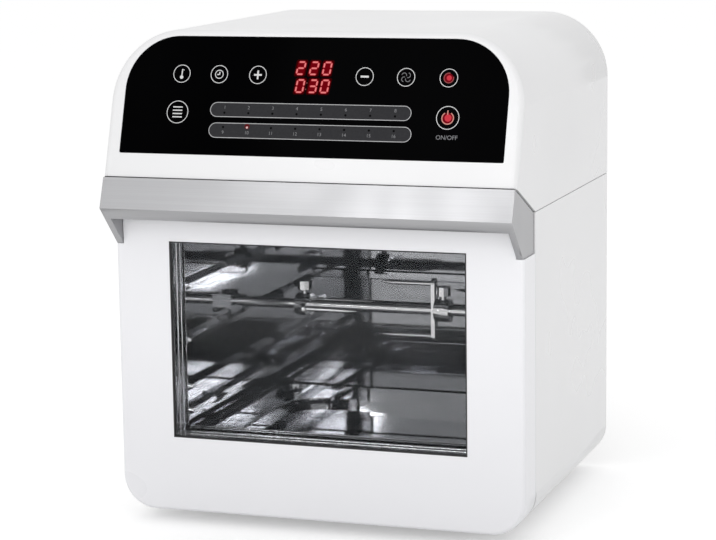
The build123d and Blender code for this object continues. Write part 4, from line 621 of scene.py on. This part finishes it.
def make_panel_prints():
    """The printed keys, pictograms, bars and numbers on the panel."""
    light_grey = ink("print_grey", (0.74, 0.74, 0.74))
    line_grey = ink("print_line", (0.50, 0.50, 0.51))
    fill_grey = ink("print_dark", (0.036, 0.036, 0.039))
    dim_grey = ink("print_dim", (0.24, 0.24, 0.25))
    rings = []
    for x, y in SMALL_KEYS.values():
        rings += ring_faces(x, y, SMALL_RING, RING_LINE)
    for x, y in LARGE_KEYS.values():
        rings += ring_faces(x, y, LARGE_RING, RING_LINE)
    panel_print("key_rings", rings, light_grey)
    panel_print("key_symbols", key_symbols(), light_grey)
    panel_print("fan_symbol", fan_symbol(), dim_grey)
    fills = []
    lines = []
    for left, right, low, high in BARS:
        outer = capsule_points(left, right, low, high)
        inner = capsule_points(left + BAR_LINE, right - BAR_LINE, low + BAR_LINE, high - BAR_LINE)
        fills.append(inner)
        lines += outline_faces(outer, inner)
    panel_print("indicator_bars", fills, fill_grey)
    panel_print("indicator_bar_lines", lines, line_grey)
    dark = []
    for row, up in enumerate(DOT_HEIGHTS):
        for n in range(DOT_COUNT):
            if (row, n) != (LIT_ROW, LIT_DOT):
                dark.append(circle_points(DOT_START + n * DOT_PITCH, up, DOT_RADIUS, count=20))
    panel_print("indicator_dots", dark, ink("dot_black", (0.001, 0.001, 0.001)), 1)
    lit_x = DOT_START + LIT_DOT * DOT_PITCH
    lit_up = DOT_HEIGHTS[LIT_ROW]
    lit = circle_points(lit_x, lit_up, LIT_SHARE * DOT_RADIUS, count=20)
    halo = circle_points(lit_x, lit_up + HALO_RISE, HALO_SHARE * DOT_RADIUS, count=28)
    panel_print("indicator_halo", [halo], light("halo_red", (0.085, 0.010, 0.012)), 1)
    panel_print("indicator_lit", [lit], light("lit_red", (0.80, 0.55, 0.55)), 2)
    for row, up in enumerate(NUMBER_HEIGHTS):
        for n in range(DOT_COUNT):
            number = str(row * DOT_COUNT + n + 1)
            x = DOT_START + n * DOT_PITCH
            text_piece("bar_number_" + number, number, x, up, NUMBER_SIZE, dim_grey)
    x, y = LARGE_KEYS["power"]
    text_piece("on_off", "ON/OFF", x + ON_OFF_SHIFT, y - ON_OFF_DROP, ON_OFF_SIZE, dim_grey)


def make_key_lights():
    """The red lamps in the spit key and the power key."""
    red = light("key_red", (0.60, 0.045, 0.065))
    deep = light("key_deep", (0.16, 0.004, 0.010))
    pale = light("key_pale", (0.62, 0.30, 0.25))
    dusk = light("key_dusk", (0.30, 0.085, 0.085))
    x, y = SMALL_KEYS["spit"]
    glow = circle_points(x, y, SPIT_GLOW_RADIUS, count=28)
    lamp = circle_points(x + KEY_LAMP_SHIFT, y, SPIT_LAMP_RADIUS, count=24)
    panel_print("spit_key_glow", [glow], deep)
    panel_print("spit_key_lamp", [lamp], red, 1)
    panel_print("spit_key_ring", ring_faces(x, y, **SPIT_ARC), dusk, 1)
    x, y = LARGE_KEYS["power"]
    glow = circle_points(x, y - POWER_GLOW_DROP, POWER_GLOW_RADIUS, count=32)
    lamp = circle_points(x + KEY_LAMP_SHIFT, y - POWER_LAMP_DROP, POWER_LAMP_RADIUS, count=28)
    panel_print("power_key_glow", [glow], deep)
    panel_print("power_key_lamp", [lamp], red, 1)
    shapes = ring_faces(x, y - POWER_GLOW_DROP, **POWER_ARC)
    x0, y0, x1, y1, line = POWER_STROKE
    shapes.append(stroke(x + x0, y + y0, x + x1, y + y1, line))
    panel_print("power_key_ring", shapes, pale, 1)


def segment_polygons(x, y, character, grow=0.0):
    """The lit bars of one slanted seven-segment character with its foot at x, y."""
    w, h = DIGIT_WIDTH, DIGIT_HEIGHT
    half = DIGIT_LINE / 2
    ends = {
        "a": (0, h, w, h), "b": (w, h / 2, w, h), "c": (w, 0, w, h / 2),
        "d": (0, 0, w, 0), "e": (0, 0, 0, h / 2), "f": (0, h / 2, 0, h), "g": (0, h / 2, w, h / 2),
    }
    polygons = []
    for letter in SEGMENTS[character]:
        x0, y0, x1, y1 = ends[letter]
        length = math.hypot(x1 - x0, y1 - y0)
        ux, uy = (x1 - x0) / length, (y1 - y0) / length
        tip = DIGIT_GAP - grow
        shoulder = tip + half
        side = half + grow
        points = []
        for along, across in ((tip, 0), (shoulder, side), (length - shoulder, side),
                              (length - tip, 0), (length - shoulder, -side), (shoulder, -side)):
            px = x0 + ux * along - uy * across
            py = y0 + uy * along + ux * across
            points.append((x + px + py * DIGIT_SLANT, y + py))
        polygons.append(points[::-1])
    return polygons


def digit_box(x, y, edge):
    """The slanted outline round one character, with its corners cut off."""
    w, h, cut = DIGIT_WIDTH, DIGIT_HEIGHT, edge * GLOW_CORNER_SHARE
    corners = [
        (-edge, cut - edge), (cut - edge, -edge), (w + edge - cut, -edge), (w + edge, cut - edge),
        (w + edge, h + edge - cut), (w + edge - cut, h + edge), (cut - edge, h + edge),
        (-edge, h + edge - cut),
    ]
    return [(x + px + py * DIGIT_SLANT, y + py) for px, py in corners]


def make_display():
    """The red digits, each with its glow in three steps."""
    bright = light("digit_red", (0.80, 0.22, 0.22))
    near = light("digit_near", (0.30, 0.010, 0.018))
    middle = light("digit_middle", (0.13, 0.001, 0.004))
    far = light("digit_far", (0.018, 0.0005, 0.001))
    dim = light("colon_dim", (0.16, 0.05, 0.05))
    digits = []
    hug = []
    inside = []
    outside = []
    for base, characters, places in DIGIT_ROWS:
        for character, x in zip(characters, places):
            digits += segment_polygons(x, base, character)
            hug += segment_polygons(x, base, character, NEAR_GLOW)
            inside.append(digit_box(x, base, MIDDLE_GLOW))
            outside.append(digit_box(x, base, FAR_GLOW))
    base = DIGIT_ROWS[1][0]
    colon = []
    for share in COLON_SHARES:
        up = share * DIGIT_HEIGHT
        colon.append(circle_points(COLON_X + up * DIGIT_SLANT, base + up, COLON_RADIUS, count=12))
    panel_print("display_far_glow", outside, far)
    panel_print("display_glow", inside, middle, 1)
    panel_print("display_near_glow", hug, near, 2)
    panel_print("display_digits", digits, bright, 3)
    panel_print("display_colon", colon, dim, 3)


# Thin trim on the door, in the oven and on the housing
def make_window_trim():
    """A black line round the window's edge."""
    pane_low, pane_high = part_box("door_glass_outer")
    door_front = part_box("door_frame")[0].y
    x1 = pane_high.x - WINDOW_OVERLAP
    z0 = pane_low.z + WINDOW_OVERLAP
    z1 = pane_high.z - WINDOW_OVERLAP
    y0 = door_front - TRIM_PROUD
    y1 = pane_low.y - TRIM_PANE_GAP
    outer = [(-x1, z0), (x1, z0), (x1, z1), (-x1, z1)]
    w = TRIM_WIDTH
    inner = [(-x1 + w, z0 + w), (x1 - w, z0 + w), (x1 - w, z1 - w), (-x1 + w, z1 - w)]
    vertices = []
    for y, outline in ((y0, outer), (y0, inner), (y1, inner), (y1, outer)):
        vertices += [(x, y, z) for x, z in outline]
    faces = []
    for ring in range(4):
        after = (ring + 1) % 4
        for n in range(4):
            m = (n + 1) % 4
            faces.append([ring * 4 + n, ring * 4 + m, after * 4 + m, after * 4 + n])
    add_piece("window_trim", vertices, faces, SLOT_MATERIALS["rubber_black"], "door")


def bar(start, end, across, up):
    """A straight bar along start to end, between the offsets 0 and across, and 0 and up."""
    corners = []
    for base in (Vector(start), Vector(end)):
        corners += [base, base + Vector(across), base + Vector(across) + Vector(up), base + Vector(up)]
    faces = [(3, 2, 1, 0), (4, 5, 6, 7)]
    for n in range(4):
        m = (n + 1) % 4
        faces.append((n, m, m + 4, n + 4))
    return corners, faces


def add_bars(name, bars, material, body):
    """One piece of several bars, with every face turned outwards."""
    vertices = []
    faces = []
    for corners, sides in bars:
        faces += [tuple(len(vertices) + n for n in side) for side in sides]
        vertices += corners
    piece = add_piece(name, vertices, faces, material, body)
    shape = bmesh.new()
    shape.from_mesh(piece.data)
    bmesh.ops.recalc_face_normals(shape, faces=shape.faces)
    shape.to_mesh(piece.data)
    shape.free()
    return piece


def round_bars(piece, radius):
    """Rounds the long edges and the ends of a piece's bars."""
    bevel = piece.modifiers.new("bevel", "BEVEL")
    bevel.width = radius
    bevel.segments = BEAD_SEGMENTS


def make_liner_beads():
    """Two beads that run round the inside of the steel border."""
    low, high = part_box("window_liner")
    pane_low, pane_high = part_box("door_glass_outer")
    x0, x1 = pane_low.x + WINDOW_OVERLAP, pane_high.x - WINDOW_OVERLAP
    z0, z1 = pane_low.z + WINDOW_OVERLAP, pane_high.z - WINDOW_OVERLAP
    width = (0.0, BEAD_WIDTH, 0.0)
    bars = []
    for share in BEAD_SHARES:
        y = low.y + share * (high.y - low.y)
        bars.append(bar((x0, y, z0), (x0, y, z1), (BEAD_RISE, 0.0, 0.0), width))
        bars.append(bar((x1, y, z0), (x1, y, z1), (-BEAD_RISE, 0.0, 0.0), width))
        bars.append(bar((x0, y, z0), (x1, y, z0), (0.0, 0.0, BEAD_RISE), width))
        bars.append(bar((x0, y, z1), (x1, y, z1), (0.0, 0.0, -BEAD_RISE), width))
    steel = brushed("bead_steel", (0.82, 0.83, 0.85), 0.14, "Z", coarse=30.0, fine=700.0, depth=0.1, dark=0.5)
    piece = add_bars("liner_beads", bars, steel, "door")
    round_bars(piece, BEAD_EDGE)


def make_rail_highlights():
    """Fine bright beads along both edges of each rail's crest: a painted highlight along the rail edges."""
    bars = []
    for side, name in ((1, "cavity_left_wall"), (-1, "cavity_right_wall")):
        low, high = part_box(name)
        crest = high.x if side > 0 else low.x
        for height in RAIL_HEIGHTS:
            for edge in (-1, 1):
                z = height * MM + edge * RAIL_HIGHLIGHT_OFFSET
                start = (crest, low.y + RAIL_HIGHLIGHT_END, z)
                end = (crest, high.y - RAIL_HIGHLIGHT_END, z)
                across = (0.0, 0.0, edge * RAIL_HIGHLIGHT_WIDTH)
                bars.append(bar(start, end, across, (side * BRIGHT_STRIP_RISE, 0.0, 0.0)))
    # The beads' bright steel is a painted highlight on the rails.
    piece = add_bars("rail_painted_highlights", bars, SLOT_MATERIALS["bright_strip_steel"], "root")
    round_bars(piece, BRIGHT_STRIP_EDGE)


def make_tray_rim_strips():
    """Bright steel strips along both sides of the tray's rim."""
    low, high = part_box("drip_tray")
    bars = []
    for side, edge in ((1, low.x), (-1, high.x)):
        start = (edge, low.y + TRAY_STRIP_END, high.z)
        end = (edge, high.y - TRAY_STRIP_END, high.z)
        bars.append(bar(start, end, (side * TRAY_STRIP_WIDTH, 0.0, 0.0), (0.0, 0.0, BRIGHT_STRIP_RISE)))
    piece = add_bars("tray_rim_strips", bars, SLOT_MATERIALS["bright_strip_steel"], "tray")
    round_bars(piece, BRIGHT_STRIP_EDGE)


def make_handle_gap_shade():
    """A black strip along the front and ends of the handle's top, in the gap below the housing: painted shade
    in that gap.
    """
    low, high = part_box("door_handle")
    housing_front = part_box("upper_housing")[0].y
    cos, sin = math.cos(SLOPE_ANGLE), math.sin(SLOPE_ANGLE)
    along = Vector((0.0, cos, -sin))
    up = Vector((0.0, sin, cos)) * GAP_SHADE_HEIGHT
    corner_y = housing_front - HANDLE_SETBACK
    left = Vector((low.x + GAP_SHADE_INSET, corner_y, high.z)) + along * GAP_SHADE_INSET
    right = Vector((high.x - GAP_SHADE_INSET, corner_y, high.z)) + along * GAP_SHADE_INSET
    length = (high.y - corner_y) / cos - 2 * GAP_SHADE_INSET
    across = Vector((GAP_SHADE_WIDTH, 0.0, 0.0))
    bars = [
        bar(left, right, along * GAP_SHADE_WIDTH, up),
        bar(left, left + along * length, across, up),
        bar(right, right + along * length, -across, up),
    ]
    # The black strip is painted shade in the gap under the housing.
    add_bars("handle_gap_painted_shade", bars, SLOT_MATERIALS["rubber_black"], "door")


def make_seam_shade_strips():
    """Grey strips a little inside the joint between the two housings, on both sides: painted shade in the
    joint.
    """
    upper_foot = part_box("upper_housing")[0].z
    low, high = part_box("lower_housing")
    up = (0.0, 0.0, upper_foot - high.z)
    bars = []
    for side, face in ((1, high.x), (-1, low.x)):
        x = face - side * SEAM_INSET
        start = (x, low.y + SEAM_END, high.z)
        end = (x, high.y - SEAM_END, high.z)
        bars.append(bar(start, end, (-side * SEAM_DEPTH, 0.0, 0.0), up))
    # The grey of the seam strips is painted shade in the joint.
    grey = moulded("seam_painted_shade", SEAM_SHADE_GREY, 0.5)
    add_bars("housing_seam_painted_shade", bars, grey, "root")


# Studio: pale floor, a soft sky, lamps and the camera
def seen_or_lit(tree, seen, lit):
    """One strength for camera, glossy and transmitted rays, another for the light on the object."""
    path = tree.nodes.new("ShaderNodeLightPath")
    total = path.outputs["Is Camera Ray"]
    for name in ("Is Glossy Ray", "Is Transmission Ray"):
        add = tree.nodes.new("ShaderNodeMath")
        add.operation = "MAXIMUM"
        tree.links.new(total, add.inputs[0])
        tree.links.new(path.outputs[name], add.inputs[1])
        total = add.outputs["Value"]
    level = tree.nodes.new("ShaderNodeMapRange")
    level.inputs["To Min"].default_value = lit
    level.inputs["To Max"].default_value = seen
    tree.links.new(total, level.inputs["Value"])
    return level.outputs["Result"]


def make_floor():
    """A pale floor that is as white as the sky to the camera, metal and glass, shadows apart."""
    mesh = bpy.data.meshes.new("floor")
    reach = FLOOR_REACH
    mesh.from_pydata([(-reach, -reach, 0), (reach, -reach, 0), (reach, reach, 0), (-reach, reach, 0)],
                     [], [(0, 1, 2, 3)])
    material, tree, shader = new_material("floor")
    shader.inputs["Base Color"].default_value = (FLOOR_COLOUR, FLOOR_COLOUR, FLOOR_COLOUR, 1.0)
    shader.inputs["Roughness"].default_value = 0.9
    shader.inputs["Specular IOR Level"].default_value = 0.0
    shader.inputs["Emission Color"].default_value = (1.0, 1.0, 1.0, 1.0)
    glow = seen_or_lit(tree, 1.0 - FLOOR_COLOUR * SKY_LEVEL, 0.0)
    tree.links.new(glow, shader.inputs["Emission Strength"])
    mesh.materials.append(material)
    floor = bpy.data.objects.new("floor", mesh)
    bpy.context.scene.collection.objects.link(floor)


def make_sky():
    """A plain grey sky that lights the object, seen as white by the camera, metal and glass."""
    world = bpy.data.worlds.new("sky")
    bpy.context.scene.world = world
    world.use_nodes = True
    tree = world.node_tree
    background = tree.nodes["Background"]
    background.inputs["Color"].default_value = (1.0, 1.0, 1.0, 1.0)
    tree.links.new(seen_or_lit(tree, 1.0, SKY_LEVEL), background.inputs["Strength"])


def make_lamp(name, place, aim, width, height, brightness, roll=0.0, colour=LAMP_WHITE):
    """A soft box of the given size in metres and brightness in watts per square metre and steradian."""
    data = bpy.data.lights.new(name, "AREA")
    data.shape = "RECTANGLE"
    data.size = width
    data.size_y = height
    data.energy = brightness * math.pi * width * height
    data.color = colour
    lamp = bpy.data.objects.new(name, data)
    bpy.context.scene.collection.objects.link(lamp)
    facing = (Vector(aim) - Vector(place)).to_track_quat("-Z", "Y")
    turn = facing.to_matrix().to_4x4() @ Matrix.Rotation(math.radians(roll), 4, "Z")
    lamp.matrix_world = Matrix.Translation(place) @ turn
    lamp.visible_camera = False
    return lamp


def make_lamps():
    """The soft boxes, most of them where a face of the cooker mirrors them, and the lamp in the oven."""
    for name, place, aim, width, height, brightness, roll in LAMPS:
        make_lamp(name, place, aim, width, height, brightness, roll)
    low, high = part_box("lamp_cover")
    centre = (low + high) / 2
    place = Vector((low.x - OVEN_LAMP_GAP, centre.y, centre.z))
    oven_lamp = make_lamp("oven_lamp", place, OVEN_LAMP_AIM, OVEN_LAMP_SIZE, OVEN_LAMP_SIZE,
                          OVEN_LAMP_BRIGHTNESS, colour=OVEN_LAMP_COLOUR)
    oven_lamp.visible_glossy = False


def make_camera():
    """The camera at the photograph's viewing angle."""
    data = bpy.data.cameras.new("camera")
    data.lens = CAMERA_LENS
    data.sensor_width = CAMERA_SENSOR
    data.sensor_fit = "HORIZONTAL"
    camera = bpy.data.objects.new("camera", data)
    bpy.context.scene.collection.objects.link(camera)
    right = Vector(CAMERA_RIGHT)
    up = -Vector(CAMERA_DOWN)
    back = -Vector(CAMERA_FORWARD)
    turn = Matrix((right, up, back)).transposed().to_4x4()
    camera.matrix_world = Matrix.Translation(CAMERA_PLACE) @ turn
    bpy.context.scene.camera = camera


dress_nodes()
round_edges()
make_panel_prints()
make_key_lights()
make_display()
make_window_trim()
make_liner_beads()
make_rail_highlights()
make_tray_rim_strips()
make_handle_gap_shade()
make_seam_shade_strips()
make_floor()
make_sky()
make_lamps()
make_camera()
bpy.context.scene.view_settings.view_transform = "Standard"
